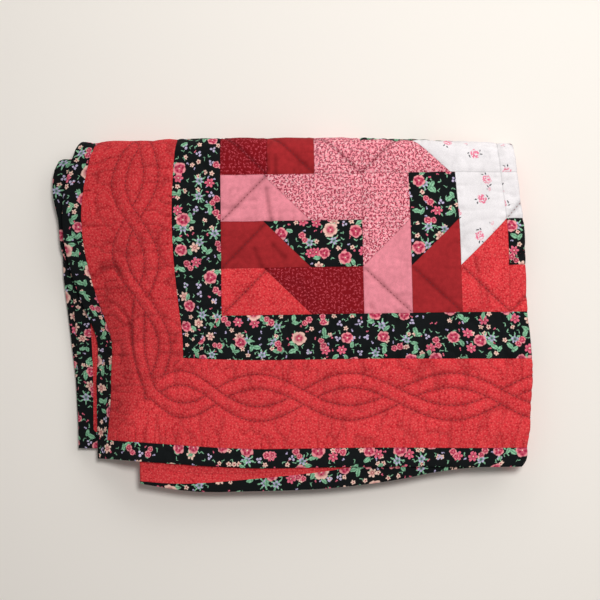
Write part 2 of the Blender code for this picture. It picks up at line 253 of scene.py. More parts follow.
# Hand quilting of the top layer. The cable in the border has two strands of two lines each.
# A whole number in its tables is where the strands cross, and a half is where they are widest.
STITCH_WIDTH = 0.0023
PUFF_WIDTH = 0.012
CABLE_CENTRE = 0.0742
CABLE_SWING = 0.0172
CABLE_HALF_WIDTH = 0.0078
CABLE_UP = [
    # (height up the quilt, place in the cable)
    (0.0745, 0.0),
    (0.1320, 0.5),
    (0.1880, 1.0),
    (0.2296, 1.5),
    (0.2730, 2.0),
    (0.3160, 2.5),
    (1.3700, 13.5),
]
CABLE_ALONG = [
    # (distance along the hem, place in the cable)
    (0.0745, 0.0),
    (0.1130, 0.5),
    (0.1580, 1.0),
    (0.2030, 1.5),
    (0.2520, 2.0),
    (0.3005, 2.5),
    (0.3530, 3.0),
    (0.4064, 3.5),
    (1.2500, 12.0),
]

# How the stitched lines are traced, and the round beads that are drawn out into stitches
CABLE_POINTS = 1500
SHORTEST_RUN = 8
STITCH_INSET = 0.0015
PATCH_POINTS = 60
BLOCKS_ON_TOP = (3, 2)
STITCHED_TURN = 0.8 * math.pi
BEAD_STEP = 4.0
BEAD_SEGMENTS = (6, 4)
FACE_LIFT = 0.001
THREAD_FLATNESS = 1.25
THREAD_SHADE = 0.6
THREAD_ROUGHNESS = 0.8
TWISTS_PER_METRE = 2500.0

# The relief of the sewn face: turned seam edges, ridges across the borders and off the seams,
# and the soft waves of washed cloth
ALLOWANCE = 0.0064
ALLOWANCE_EDGE = 0.0015
CORNER_OVERLAP = 0.001
LATTICE_SIZE = 128
RIDGE_STEP = 0.0075
RIDGE_LENGTH = 0.023
RIDGE_SEEDS = (1, 2)
VALLEY = 0.22
RIDGES_OFF_SEAMS = 0.2
RIDGE_REACH = 0.012
FRAME_BLEND = 0.008
CORNER_BLEND = 0.020
BORDER_CALM = 0.5
BORDER_GATHER = 0.9
GATHER_REACH = 0.018
WAVE_STEP = 0.017
WAVE_SEEDS = (3, 4)
DEEPEST = 0.0021

# How much shade is painted into the colour along the stitched lines, in puckers and in creases,
# and over the side borders, and where the painted shade stops growing. The painted shade of the
# cable in the left border is fainter above a stretch of its height.
SIDE_BORDER_PAINTED_SHADE = 0.72
PUCKER_SHADE = 1.1
PUCKER_SHARPNESS = 1.2
PUCKER_SHARE_IN_BLOCKS = 0.45
STITCH_SHADE = 1.6
DEEPEST_SEWING_SHADE = 2.0
FAINT_CABLE = (0.17, 0.27)
FAINT_CABLE_SHARE = 0.45
CREASE_SHADE = 0.0009
DEEPEST_CREASE_SHADE = 1.9

# The binding: how its outer edge rolls over, the lines that it is cut along, how it wavers, and
# the shade painted on its sides
BINDING_ROLL = 0.0025
BINDING_RIM = 0.45
BINDING_LINES = (0.0, BINDING_ROLL / 3, BINDING_ROLL, 0.008, 0.014, BINDING)
RUFFLE_STEP = 0.009
RUFFLE_SEED = 5
BINDING_SIDE_PAINTED_SHADE = 1.2 * SIDE_BORDER_PAINTED_SHADE

# Which piece of a print each part is cut from: four borders, the back, the binding, the patches
BACK_PRINT = 4
BINDING_PRINT = 5
FIRST_PATCH_PRINT = 8
PATCHES_IN_BLOCK = 6
PRINT_SEED = 7
PRINT_SHIFT = 3.0

# How wide the binding is on the back of the second layer's hem, where it shows below the first
BACK_BINDING = 0.0174
HEM_BACK_BINDING = [
    # (place along X from the left edge, width)
    (0.080, 0.0030),
    (0.100, 0.0045),
    (0.143, 0.0095),
    (0.186, 0.0123),
    (0.250, 0.0166),
    (0.298, 0.0200),
]

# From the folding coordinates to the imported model's own frame
PACK_TO_ROW = (-0.23896, -0.17035, -0.00030)

# The mesh: base cells, and the cell size that each part of the front is cut to
BASE_CELLS = 5
BORDER_CELLS = 10
TURN_CELLS = 4
FINE_CELL = 0.0017
SOFT_CELL = 0.0026
PLAIN_CELL = 0.0051
FINE_END = FRAME_WIDTH + 4 * PATCH
BACK_END = FRAME_WIDTH + 5 * PATCH
UNDERSIDE_CELLS = 28
UNDERSIDE_END = BACK_END + UNDERSIDE_CELLS * PATCH / BASE_CELLS
STEPS_END = 1.200
SAMPLE_U = 0.25
NEAR = 1e-6
SHARP_ANGLE = math.radians(55)

# Which fabrics make each strip of a block, to the left and right of its slanted seam.
# A block's rows are its strips from the bottom up, before it is turned.
RED_PRINT, FLORAL, DITSY, PINK, BRICK, DARK_PRINT, ROSES = range(7)
BLOCK_FABRICS = {
    (0, 0): [(RED_PRINT, DARK_PRINT), (BRICK, FLORAL), (PINK, DITSY)],
    (1, 0): [(RED_PRINT, ROSES), (BRICK, FLORAL), (PINK, DITSY)],
    (2, 0): [(RED_PRINT, DARK_PRINT), (FLORAL, BRICK), (ROSES, RED_PRINT)],
    (0, 1): [(DITSY, PINK), (BRICK, FLORAL), (DARK_PRINT, RED_PRINT)],
    (1, 1): [(DITSY, ROSES), (FLORAL, BRICK), (ROSES, RED_PRINT)],
    (2, 1): [(RED_PRINT, DARK_PRINT), (BRICK, FLORAL), (ROSES, PINK)],
}
OTHER_STRIPS = [
    [(RED_PRINT, DARK_PRINT), (DITSY, ROSES), (RED_PRINT, ROSES)],
    [(BRICK, FLORAL), (FLORAL, BRICK)],
    [(PINK, DITSY), (ROSES, RED_PRINT), (DARK_PRINT, PINK)],
]

# The map for baking, from 0 to 1 each way: where the sheet's lines go, where the binding's strips
# go, and how far the cut edges are set off
SHEET_ACROSS = [(BINDING, 0.01), (SECOND_START, 0.78), (QUILT_WIDTH - BINDING, 0.99)]
SHEET_FRONT = [(BINDING, 0.01), (BACK_END, 0.68), (QUILT_HEIGHT - BINDING, 0.79)]
SHEET_BACK = [(BINDING, 0.81), (0.06, 0.85), (QUILT_HEIGHT - BINDING, 0.99)]
STRIP_RUN = (0.01, 0.98)
STRIP_START = 0.008
STRIP_PITCH = 0.124
STRIP_HEIGHT = 0.11
RIM_STEP = 0.0015

# The woven cloth of every fabric: threads to a millimetre, how weave and wash change its tone, and
# the shade painted along seams, stitches, puckers and creases and over the side borders, each from
# its low end to its high end
WARP = (4.2, 0.9, 1.0)
WEFT = (0.9, 4.2, 1.0)
WEAVE_RANGE = (0.7, 1.3)
WEAVE_TONE = (0.88, 1.10)
WEAVE_ROUGHNESS = (0.98, 0.86)
WEFT_SEED = 5.0
WASH = (28.0, 3.0, 2.0)
WASH_RANGE = (0.3, 0.7)
WASH_TONE = (0.92, 1.06)
SEAM_RANGE = (0.0002, 0.0011)
PAINTED_SEAM_SHADE = (0.80, 1.0)
HOLLOW_RANGE = (0.0, 2.7)
PAINTED_HOLLOW_SHADE = (1.0, 0.46)
SLUBS = (2.4, 2.0, 9.0)
SLUB_SHARE = 1.5
CLOTH_BUMP = {"Strength": 0.6, "Distance": 0.00016}
CLOTH_SHADER = {"Specular IOR Level": 0.08, "Sheen Weight": 0.02, "Sheen Roughness": 0.5}

# The prints, in millimetres. A noise is (size, detail, seed), a hand-drawn line wavers by
# (amount, size), and motifs are scattered by (spacing, seed, looseness). A leaf is (x, y, angle,
# half length, half width), a disc (x, y, radius), and a flower (size, petals, notch, soft edge,
# point). A kind of motif takes the places whose chance lies between two numbers, and a ramp is
# (low, high) or (low, high, start, end). An eye is (where it ends, how far out it is full).
MILLIMETRES = 1000.0
NOISE_SHIFT = (1.0, 0.7, 1.3)
SCATTER_SHIFT = (37.0, 19.0, 0.0)
FINE_HAND = (0.7, 1.1)

RED_HAND = (1.2, 2.0)
RED_DOTS = (3.3, 6.0, 0.9)
RED_DOT = (0.0, 0.0, 0.72)
RED_SQUIGGLES = (1.7, 1.0, 3.0)
RED_SQUIGGLE_RAMP = (0.52, 0.62, 0.0, 0.35)
RED_MOTTLING = (1.9, 1.5, 11.0)
RED_MOTTLING_RAMP = (0.53, 0.63)

BLOSSOM_PETALS = 5
BLOSSOM_NOTCH = 0.20
BLOSSOM_EDGE = 0.3
BLOSSOM_POINT = 0.5
BLOSSOM_WAVER = 3.0
BLOSSOM_RINGS = 9.0
RING_LIGHT = 0.26
PETAL_LIGHT = 0.35
RIM_LIGHT = 0.6
BLOSSOM_RAMP = (0.16, 0.86)
PALE_PETAL_RAMP = (0.8, 1.0, 0.0, 0.35)
BLOSSOM_EYE = (0.16, 0.07)

FLORAL_HAND = (2.0, 2.6)
FLORAL_SCALE = 0.87
LEAF_SHADE = (1.8, 1.0, 4.0)
LEAF_SHADE_RAMP = (0.42, 0.62)
VEIN_RAMP = (0.15, 0.4, 0.8, 0.0)
SMALL_MOTIFS = (6.2, 1.0, 0.9)
BLADES = [(1.0, 0.3, 0.5, 1.7, 0.42), (-0.9, 0.7, -0.9, 1.3, 0.36)]
BLADE_CHANCE = (0.0, 0.34)
BUDS = [(0.4, 0.0, 0.75), (-0.7, 0.9, 0.5)]
BUD_CHANCE = (0.34, 0.56)
SMALL_STAR = (2.4, 5, 0.6, 0.25)
SMALL_STAR_EYE = (0.9, 0.5)
SMALL_STAR_CHANCE = (0.80, 0.92)
MIDDLE_MOTIFS = (14.0, 2.0, 0.75)
WISP = (7.0, 7, 0.93, 0.2, 3.5)
TUFT = (3.6, 5, 0.55, 0.25, 1.2)
TUFT_RAMP = (0.6, 2.4)
WISP_CHANCE = (0.0, 0.18)
CLUSTER_SPOTS = [(1.5, 0.2), (-1.2, 1.5), (-0.6, -1.7)]
CLUSTER_RADII = (1.15, 0.4)
CLUSTER_EDGE = 0.2
CLUSTER_PALENESS = 0.35
CLUSTER_EYE_SHADE = 0.4
CLUSTER_CHANCE = (0.18, 0.38)
STAR = (4.6, 6, 0.62, 0.25)
PEACH_STARS = 0.45
STAR_SHADE_RAMP = (0.9, 3.2, 0.85, 0.0)
STAR_EYE = (0.8, 0.5)
STAR_CHANCE = (0.38, 0.62)
LEAF_PAIR = [(2.6, 1.1, 0.5, 4.4, 2.1), (-2.2, 2.2, -1.0, 3.8, 1.8)]
LEAF_PAIR_CHANCE = (0.62, 0.84)
LARGE_MOTIFS = (24.0, 3.0, 0.6)
TWINS = [
    # (x, y, size)
    (1.8, 1.2, 3.3),
    (-2.6, -1.6, 2.8),
]
TWIN_CHANCE = (0.0, 0.42)
LARGE_LEAF = (8.3, 2.0, 0.3, 3.8, 1.9)
LARGE_LEAF_CHANCE = (0.42, 1.0)
LARGE_BLOSSOM = 6.6
LARGE_BLOSSOM_SCALES = (0.0, 1.0, 1.3, 0.9)
LARGE_BLOSSOM_CHANCE = (0.42, 0.92)
PALE_RIM_RAMP = (2.4, 5.2, 0.0, 0.85)
PALE_RIMS = 0.80

SPECK_LOOSENESS = 0.85
SPECK_BEND = 0.8
SPECK_WIDTH = (0.46, 0.22)
SPECK_LENGTH = (1.25, 0.9)
DITSY_SMALL = (3.9, 1.0, 1.5)
DITSY_LARGE = (4.4, 2.0, 1.65)
DITSY_BUDS = (3.2, 3.0, 0.9)
DITSY_BUD = (0.0, 0.0, 0.95)
DITSY_BUD_CHANCE = (0.0, 0.8)
DEEP_LEAVES = (4.0, 4.0, 1.0)
DEEP_FAINT_LEAVES = (4.4, 5.0, 1.1)
DEEP_FAINTNESS = 0.4
SOFT_DOT_EDGE = 0.3

PLAIN_SHADE = 0.86
PLAIN_MOTTLING = (5.0, 4.0)
PLAIN_MOTTLING_RAMP = (0.35, 0.65)

ROSE_HAND = (1.4, 1.5)
ROSE_STROKES = (1.5, 1.0, 6.0)
ROSE_STROKES_RAMP = (0.42, 0.54)
ROSEBUDS = (19.0, 1.0, 0.8)
ROSEBUD_CHANCE = (0.0, 0.3)
ROSEBUD_DISCS = [
    # (disc, soft edge)
    ((0.0, 0.0, 1.7), 0.5),
    ((1.9, 1.2, 1.1), 0.4),
]
ROSEBUD_LEAF = (-1.6, 1.9, 2.1, 1.2, 0.45)
ROSEBUD_LEAF_SHADE = 0.4
ROSES_SCATTER = (36.0, 2.0, 0.55)
ROSE_PETALS = (5.2, 5, 0.2)
ROSE_LEAVES = [
    (5.2, 4.4, 2.4, 1.8, 0.7),
    (2.2, 6.8, 1.2, 1.6, 0.65),
    (-3.0, -6.0, 0.4, 1.9, 0.7),
    (-6.0, -4.4, 1.9, 1.5, 0.6),
]

# The stage: its soft square lights, each pointed at a target, and the light from all round
LIGHTS = [
    # (name, energy, side, place, target)
    ("key_light", 7.4, 1.2, (1.10, 0.90, 1.05), (0.0, 0.0, 0.0)),
    ("top_light", 3.0, 0.8, (-0.10, 1.15, 0.75), (0.0, 0.1, 0.0)),
    ("front_light", 16.8, 0.35, (0.25, 0.24, 1.70), (0.8, 0.0, 0.0)),
]
DAYLIGHT = (1.0, 0.985, 0.97, 1.0)
DAYLIGHT_STRENGTH = 0.25
FLOOR_CELLS = 4
FLOOR_ROUGHNESS = 0.9

# The camera: a long lens above the pack, a little nearer to its hem
LENS = 72.0
SENSOR = 36.0
CAMERA_TARGET = (0.0108, 0.0110, 0.0402)
CAMERA_DISTANCE = 1.2834
CAMERA_TILT = math.radians(5.5)
CAMERA_ROLL = math.radians(0.9)


def linear(red, green, blue):
    """A display colour from 0 to 255 as the linear values that a shader takes."""
    shares = [value / 255 for value in (red, green, blue)]
    return tuple(s / 12.92 if s <= 0.04045 else ((s + 0.055) / 1.055) ** 2.4 for s in shares)


def length_property(name, description, default):
    return FloatProperty(
        name=name, description=description, default=default, min=0.0, precision=5, unit="LENGTH"
    )


def colour_property(name, description, *display):
    default = linear(*display)
    return FloatVectorProperty(
        name=name, description=description, default=default, min=0.0, max=1.0, subtype="COLOR"
    )


class QuiltSizes(bpy.types.PropertyGroup):
    """Sizes of the sewing and of the stage."""

    quilting_depth: length_property("Quilting depth", "How far the stitches draw the face in", 0.0011)
    seam_depth: length_property("Seam depth", "How far the seams draw the face in", 0.0007)
    puff: length_property("Puff", "How far the face swells between the stitches", 0.0008)
    allowance_height: length_property("Seam allowance", "How far turned edges lift the face", 0.00035)
    ridge_height: length_property("Ridges", "Height of the small ridges across the seams", 0.00060)
    wave_height: length_property("Waves", "Height of the soft unevenness of washed cloth", 0.00045)
    ruffle: length_property("Binding ruffle", "How far the bound edge wavers", 0.0008)
    stitch_length: length_property("Stitch length", "Thread that shows at each stitch", 0.0026)
    stitch_gap: length_property("Stitch gap", "Cloth between one stitch and the next", 0.0021)
    thread: length_property("Thread", "Half the thickness of the quilting thread", 0.00031)
    floor: length_property("Floor", "Half the side of the floor", 3.0)


class QuiltColours(bpy.types.PropertyGroup):
    """Colours of the fabrics, the thread and the stage."""

    red: colour_property("Red ground", "Ground of the red border print", 221, 57, 63)
    red_light: colour_property("Red print light", "Dots and squiggles of the red print", 233, 92, 90)
    red_dark: colour_property("Red print dark", "Dark mottling of the red border print", 190, 38, 46)
    black: colour_property("Black ground", "Ground of the dark flower print", 20, 23, 24)
    crimson: colour_property("Crimson", "Shaded petals of the dark flower print", 164, 30, 64)
    petal: colour_property("Petal pink", "Light petals of the dark flower print", 236, 112, 136)
    peach: colour_property("Peach", "Star flowers of the dark flower print", 246, 206, 188)
    lavender: colour_property("Lavender", "Clusters of the dark flower print", 196, 184, 220)
    mint: colour_property("Mint", "Leaves of the dark flower print", 150, 205, 166)
    moss: colour_property("Moss", "Shaded leaves of the dark flower print", 66, 116, 88)
    pink: colour_property("Pink", "Plain pink cotton", 240, 145, 158)
    ditsy: colour_property("Ditsy pink", "Ground of the small leaf print", 246, 152, 164)
    ditsy_leaf: colour_property("Ditsy leaf", "Leaves of the small leaf print", 152, 34, 62)
    ditsy_light: colour_property("Ditsy light", "Buds of the small leaf print", 248, 194, 198)
    brick: colour_property("Brick red", "Plain red cotton", 168, 42, 46)
    deep: colour_property("Deep red", "Ground of the dark red print", 130, 18, 26)
    deep_light: colour_property("Deep red print", "Specks of the dark red print", 206, 80, 92)
    white: colour_property("White", "Ground of the rose print", 238, 233, 234)
    rose: colour_property("Rose", "Roses of the white print", 238, 116, 148)
    sprig: colour_property("Sprig", "Leaves of the white print", 54, 56, 64)
    thread: colour_property("Thread", "Quilting thread", 126, 26, 40)
    floor: colour_property("Floor", "Floor of the stage", 243, 237, 229)


def smoothstep(t):
    """0 below 0, 1 above 1 and a smooth rise between."""
    t = np.clip(t, 0.0, 1.0)
    return t * t * (3.0 - 2.0 * t)


def along(table, place):
    """The value of a two-column table at a place, with smooth bends at its rows."""
    places, values = np.array(table).T
    slopes = np.gradient(values, places)
    row = np.clip(np.searchsorted(places, place) - 1, 0, len(places) - 2)
    step = places[row + 1] - places[row]
    t = np.clip((place - places[row]) / step, 0.0, 1.0)
    rise = values[row + 1] - values[row]
    bend_in = step * slopes[row] - rise
    bend_out = rise - step * slopes[row + 1]
    return values[row] + t * rise + t * (1 - t) * ((1 - t) * bend_in + t * bend_out)


def between(table, place):
    """The value of a two-column table at a place, straight between its rows."""
    places, values = np.array(table).T
    return np.interp(place, places, values)


def top_fold(x):
    """Where the top fold begins: it is crowned, and lower towards the right."""
    return along(TOP_FOLD_LINE, np.clip(x, 0.0, RIGHT_FOLD))


def near_fold(top):
    """Where the fold at the hem turns."""
    return NEAR_FOLD + NEAR_FOLD_SLANT * (top - TOP_FOLD)


def slip(u):
    """How far each strip of the cloth has slid down over the folds."""
    second_x = RIGHT_FOLD - (u - SECOND_START)
    third_x = LEFT_FOLD + (u - THIRD_START)
    second = along(SLIP, np.clip(second_x, LEFT_FOLD, RIGHT_FOLD))
    third = along(SLIP, np.clip(third_x, LEFT_FOLD, RIGHT_FOLD))
    start = SLIP[0][1]
    blend = smoothstep((third_x - LEFT_FOLD) / THIRD_SLIP_BLEND)
    third = start + (third * THIRD_LAYER_SLIP - start) * blend
    middle = (SECOND_END + THIRD_START) / 2
    return -np.where(u < SECOND_START, 0.0, np.where(u < middle, second, third))


def turns_of(x):
    """The lengths along the folded height at which each turn starts and ends."""
    top = top_fold(x)
    straight = top - near_fold(top)
    top_end = top + math.pi * TOP_RADIUS
    near_start = top_end + straight
    near_end = near_start + math.pi * INNER_RADIUS
    inner_start = near_end + straight
    return top, top_end, near_start, near_end, inner_start, inner_start + math.pi * INNER_RADIUS


def fold_across(u, v, w):
    """x, and the height within the bundle of three layers."""
    half = PITCH / 2
    right = np.clip((u - RIGHT_FOLD) / half, 0.0, math.pi)
    left = np.clip((u - SECOND_END) / half, 0.0, math.pi)
    back = np.clip(u - SECOND_START, 0.0, RIGHT_FOLD - LEFT_FOLD)
    x = np.minimum(u, RIGHT_FOLD) + (half + w) * np.sin(right) - back
    x = x - (half - w) * np.sin(left) + np.maximum(u - THIRD_START, 0.0)
    upper = 2 * PITCH + (half + w) * np.cos(right)
    lower = PITCH + (half - w) * np.cos(left)
    stray = along(LEFT_EDGE, v) * (1.0 - u / FRAME_WIDTH)
    tuck = np.interp(u, (0.0, BINDING, BORDER_END), (0.0, 1.0, 0.0))
    stray = stray - CORNER_TUCK * tuck * (1.0 - smoothstep(v / CORNER_TUCK_END))
    x = x + np.where(u < FRAME_WIDTH, stray, 0.0)
    return x, np.where(u < (SECOND_START + SECOND_END) / 2, upper, lower)


def fold_over(length, h, x):
    """y and z of a point at a length along the folded height."""
    top, top_end, near_start, near_end, inner_start, inner_end = turns_of(x)
    over = np.clip((length - top) / TOP_RADIUS, 0.0, math.pi)
    near = np.clip((length - near_start) / INNER_RADIUS, 0.0, math.pi)
    inner = np.clip((length - inner_start) / INNER_RADIUS, 0.0, math.pi)
    straight = top - near_fold(top)
    y = np.minimum(length, top) + (BUNDLE + h) * np.sin(over)
    y = y - np.clip(length - top_end, 0.0, straight) - h * np.sin(near)
    y = y + np.clip(length - near_end, 0.0, straight) + (BUNDLE - h) * np.sin(inner)
    y = y - np.maximum(length - inner_end, 0.0)
    outer_z = 2 * BUNDLE + (BUNDLE + h) * np.cos(over)
    near_z = BUNDLE - h * np.cos(near)
    inner_z = 2 * BUNDLE - (BUNDLE - h) * np.cos(inner)
    z = np.where(length < (top_end + near_start) / 2, outer_z, near_z)
    return y, np.where(length > (near_end + inner_start) / 2, inner_z, z)


def settle(x, y, z):
    """The uneven outline of the pack, and where its margins sag."""
    x = x + along(RIGHT_BULGE, y) * smoothstep((x - BULGE_START) / (RIGHT_FOLD - BULGE_START))
    lift = HEM_LIFT + HEM_LIFT_LEFT * (1.0 - smoothstep(x / HEM_LIFT_END))
    lift = lift - HEM_DROP * smoothstep((x - HEM_DROP_START) / (RIGHT_FOLD - HEM_DROP_START))
    reach_start, reach_end = HEM_REACH
    y = y + lift * (1.0 - smoothstep((y - reach_start) / (reach_end - reach_start)))
    low, most = LEFT_SAG_LOW
    high, least = LEFT_SAG_HIGH
    share = most + (least - most) * smoothstep((y - low) / (high - low))
    left = share * smoothstep((LEFT_FOLD - PITCH - x) / LEFT_SAG_LENGTH)
    right = smoothstep((x - RIGHT_SAG_START) / RIGHT_SAG_LENGTH)
    droop = HEM_DROOP * smoothstep((HEM_DROOP_START - y) / HEM_DROOP_LENGTH)
    drop = left * between(LEFT_SAG_LEVELS, z) + right * between(RIGHT_SAG_LEVELS, z)
    return x, y, z - drop - droop * np.clip(z / (2 * BUNDLE), 0.0, 1.0)


def crease_height(x, y):
    """The raised and sunken creases of the top layer, each fading out at its ends."""
    total = np.zeros_like(x)
    for start_x, start_y, end_x, end_y, half_width, height in CREASES:
        run = np.hypot(end_x - start_x, end_y - start_y)
        way_x, way_y = (end_x - start_x) / run, (end_y - start_y) / run
        down = (x - start_x) * way_x + (y - start_y) * way_y
        off = (y - start_y) * way_x - (x - start_x) * way_y
        fade = smoothstep((down + half_width) / (2 * half_width))
        fade = fade * smoothstep((run + half_width - down) / (2 * half_width))
        gain = SUNKEN_CREASE_GAIN if height < 0 else 1.0
        total = total + gain * height * fade * np.exp(-((off / half_width) ** 2))
    return total


def cable_lines(phase):
    """How far off its centre each line of the cable runs at a phase, and where it shows.

    At each crossing the strand that comes down passes over the one that goes up.
    """
    lines = []
    for side in (-1.0, 1.0):
        strand = side * CABLE_SWING * np.sin(math.pi * phase)
        rising = side * np.cos(math.pi * phase) > 0
        for edge in (-CABLE_HALF_WIDTH, CABLE_HALF_WIDTH):
            shown = ~(rising & (abs(2 * strand + edge) < CABLE_HALF_WIDTH))
            lines.append((strand + edge, shown))
    return lines


def cable(phase, across):
    """The distance to the nearest line of the cable that shows."""
    off = across - CABLE_CENTRE
    offs = [np.where(shown, abs(off - line), PATCH) for line, shown in cable_lines(phase)]
    return np.min(offs, axis=0)


def in_block(u, v):
    """Which block a place is in, whether it is turned, and the place's own s and t there."""
    across, up = (u - FRAME_WIDTH) / BLOCK, (v - FRAME_WIDTH) / BLOCK
    i, j = np.floor(across), np.floor(up)
    s, t = (across - i) * BLOCK, (up - j) * BLOCK
    turned = (i + j) % 2 == 1
    return i, j, turned, np.where(turned, t, s), np.where(turned, BLOCK - s, t)


def slant_of(turned, s, t):
    """How far to the right of its strip's slanted seam a place in a block lies."""
    shift = np.where(turned, 0.0, SLANT_SHIFT)
    return (s + t % PATCH - 2 * PATCH + shift) / math.sqrt(2)


def from_edges(u, v):
    """The distances to the nearest side edge and to the nearest hem."""
    return np.minimum(u, QUILT_WIDTH - u), np.minimum(v, QUILT_HEIGHT - v)


def seam_distances(u, v):
    """The distances to the nearest level seam, upright seam and slanted seam of the front."""
    side, hem = from_edges(u, v)
    bands = []
    for off, other in ((hem, side), (side, hem)):
        nearest = np.min([abs(off - band) for band in (BINDING, BORDER_END, FRAME_WIDTH)], axis=0)
        bands.append(np.where(other > off - CORNER_OVERLAP, nearest, PATCH))
    level, upright = bands
    _, _, turned, s, t = in_block(u, v)
    in_strip = t % PATCH
    strip, end = np.minimum(in_strip, PATCH - in_strip), np.minimum(s, BLOCK - s)
    inside = np.minimum(side, hem) > FRAME_WIDTH
    level = np.where(inside, np.minimum(level, np.where(turned, end, strip)), level)
    upright = np.where(inside, np.minimum(upright, np.where(turned, strip, end)), upright)
    return level, upright, np.where(inside, abs(slant_of(turned, s, t)), PATCH)


def seam_distance(u, v):
    """The distance to the nearest seam of the front."""
    return np.min(seam_distances(u, v), axis=0)


def stitch_distance(u, v):
    """The distance to the nearest line of hand quilting."""
    side, hem = from_edges(u, v)
    nearest = np.minimum(side, hem)
    phase = np.where(side < hem, between(CABLE_UP, v), between(CABLE_ALONG, u))
    off = np.where(nearest < BORDER_END, cable(phase, nearest), PATCH)
    _, _, _, s, t = in_block(u, v)
    stitched = np.where(s < PATCH, abs(s - t % PATCH) / math.sqrt(2), PATCH)
    return np.where(nearest > FRAME_WIDTH, stitched, off)


def back_binding(u, v):
    """How wide the binding is on the back."""
    second_x = RIGHT_FOLD - (u - SECOND_START)
    on_hem = (v < BORDER_END) & (u > SECOND_START) & (u < THIRD_START + BORDER_END)
    return np.where(on_hem, between(HEM_BACK_BINDING, second_x), BACK_BINDING)


def allowance_share(u, v):
    """1 where the turned edges of a seam lie under the face, and 0 elsewhere."""
    nearest = np.minimum(*from_edges(u, v))
    _, _, turned, s, t = in_block(u, v)
    blocks = [t % PATCH, s, slant_of(turned, s, t)]
    bands = [nearest - BORDER_END, nearest - FRAME_WIDTH]
    offs = [np.where(nearest > FRAME_WIDTH, off, 0.0) for off in blocks] + bands
    shares = [(off > 0) * (1 - smoothstep((off - ALLOWANCE) / ALLOWANCE_EDGE)) for off in offs]
    return np.max(shares, axis=0)


def lattice(u, v, step_u, step_v, seed):
    """Smooth noise from -1 to 1 over the cloth, with its own steps across and up."""
    size = LATTICE_SIZE
    values = np.random.default_rng(seed).uniform(-1.0, 1.0, (size, size))
    x, y = u / step_u, v / step_v
    i, j = np.floor(x).astype(int), np.floor(y).astype(int)
    a, b = smoothstep(x - i), smoothstep(y - j)
    near, far = (
        values[column % size, j % size] * (1 - b) + values[column % size, (j + 1) % size] * b
        for column in (i, i + 1)
    )
    return near * (1 - a) + far * a


def gathers(u, v):
    """The small ridges that the sewing raises. They run across the borders and off the seams."""
    side, hem = from_edges(u, v)
    inside = smoothstep((np.minimum(side, hem) - FRAME_WIDTH + FRAME_BLEND / 2) / FRAME_BLEND)
    hem_share = smoothstep((side - hem + CORNER_BLEND / 2) / CORNER_BLEND)
    level, upright, _ = seam_distances(u, v)
    shares, ridges = [], []
    for border_share, off in ((hem_share, level), (1 - hem_share, upright)):
        off_seam = RIDGES_OFF_SEAMS + (1 - RIDGES_OFF_SEAMS) * np.exp(-off / RIDGE_REACH)
        shares.append(border_share * (1 - inside) + off_seam * inside)
    for steps, seed in zip(((RIDGE_STEP, RIDGE_LENGTH), (RIDGE_LENGTH, RIDGE_STEP)), RIDGE_SEEDS):
        ridges.append(1 - 2 * np.exp(-((lattice(u, v, *steps, seed) / VALLEY) ** 2)))
    near_seam = np.exp(-np.minimum(level, upright) / GATHER_REACH)
    strength = 1 - (1 - inside) * (BORDER_CALM - BORDER_GATHER * near_seam)
    return strength * (shares[0] * ridges[0] + shares[1] * ridges[1])


def hollow_and_painted_shade(distance):
    """1 on a line of sewing, and falling off to both of its sides."""
    return np.exp(-((distance / STITCH_WIDTH) ** 2))


def relief(u, v, sizes):
    """How far the sewing and the wash lift the face, above 0, or draw it in, below 0."""
    seam, stitch = seam_distance(u, v), stitch_distance(u, v)
    long_seed, short_seed = WAVE_SEEDS
    waves = lattice(u, v, WAVE_STEP, WAVE_STEP, long_seed)
    waves = waves + 0.5 * lattice(u, v, WAVE_STEP / 2, WAVE_STEP / 2, short_seed)
    rise = sizes.ridge_height * gathers(u, v) + sizes.wave_height * waves
    rise = rise + sizes.puff * (1 - np.exp(-((np.minimum(seam, stitch) / PUFF_WIDTH) ** 2)))
    stitched = sizes.quilting_depth * hollow_and_painted_shade(stitch)
    rise = rise - np.maximum(stitched, sizes.seam_depth * hollow_and_painted_shade(seam))
    return np.maximum(rise + sizes.allowance_height * allowance_share(u, v), -DEEPEST)


def painted_shade_of(u, v, points):
    """How much shade is painted on each point of the face, in stitches, puckers and creases and over
    the side borders: 0 where none is.
    """
    side, hem = from_edges(u, v)
    in_side_border = (side < hem) & (side < BORDER_END)
    share = np.where(np.minimum(side, hem) < FRAME_WIDTH, 1.0, PUCKER_SHARE_IN_BLOCKS)
    puckers = PUCKER_SHADE * share * smoothstep(-PUCKER_SHARPNESS * gathers(u, v))
    x, y, _ = (points - np.array(PACK_TO_ROW)).T
    on_top = (u < RIGHT_FOLD) & (v < TOP_FOLD)
    creases = on_top * np.clip(-crease_height(x, y) / CREASE_SHADE, 0.0, DEEPEST_CREASE_SHADE)
    faint_start, faint_end = FAINT_CABLE
    faint = smoothstep((v - faint_start) / (faint_end - faint_start))
    fainter = in_side_border * FAINT_CABLE_SHARE * faint
    stitches = STITCH_SHADE * (1.0 - fainter) * hollow_and_painted_shade(stitch_distance(u, v))
    # The side borders get painted shade, so that the left border looks lit from the right
    sewing = stitches + SIDE_BORDER_PAINTED_SHADE * in_side_border + puckers
    return np.minimum(sewing, DEEPEST_SEWING_SHADE) + creases


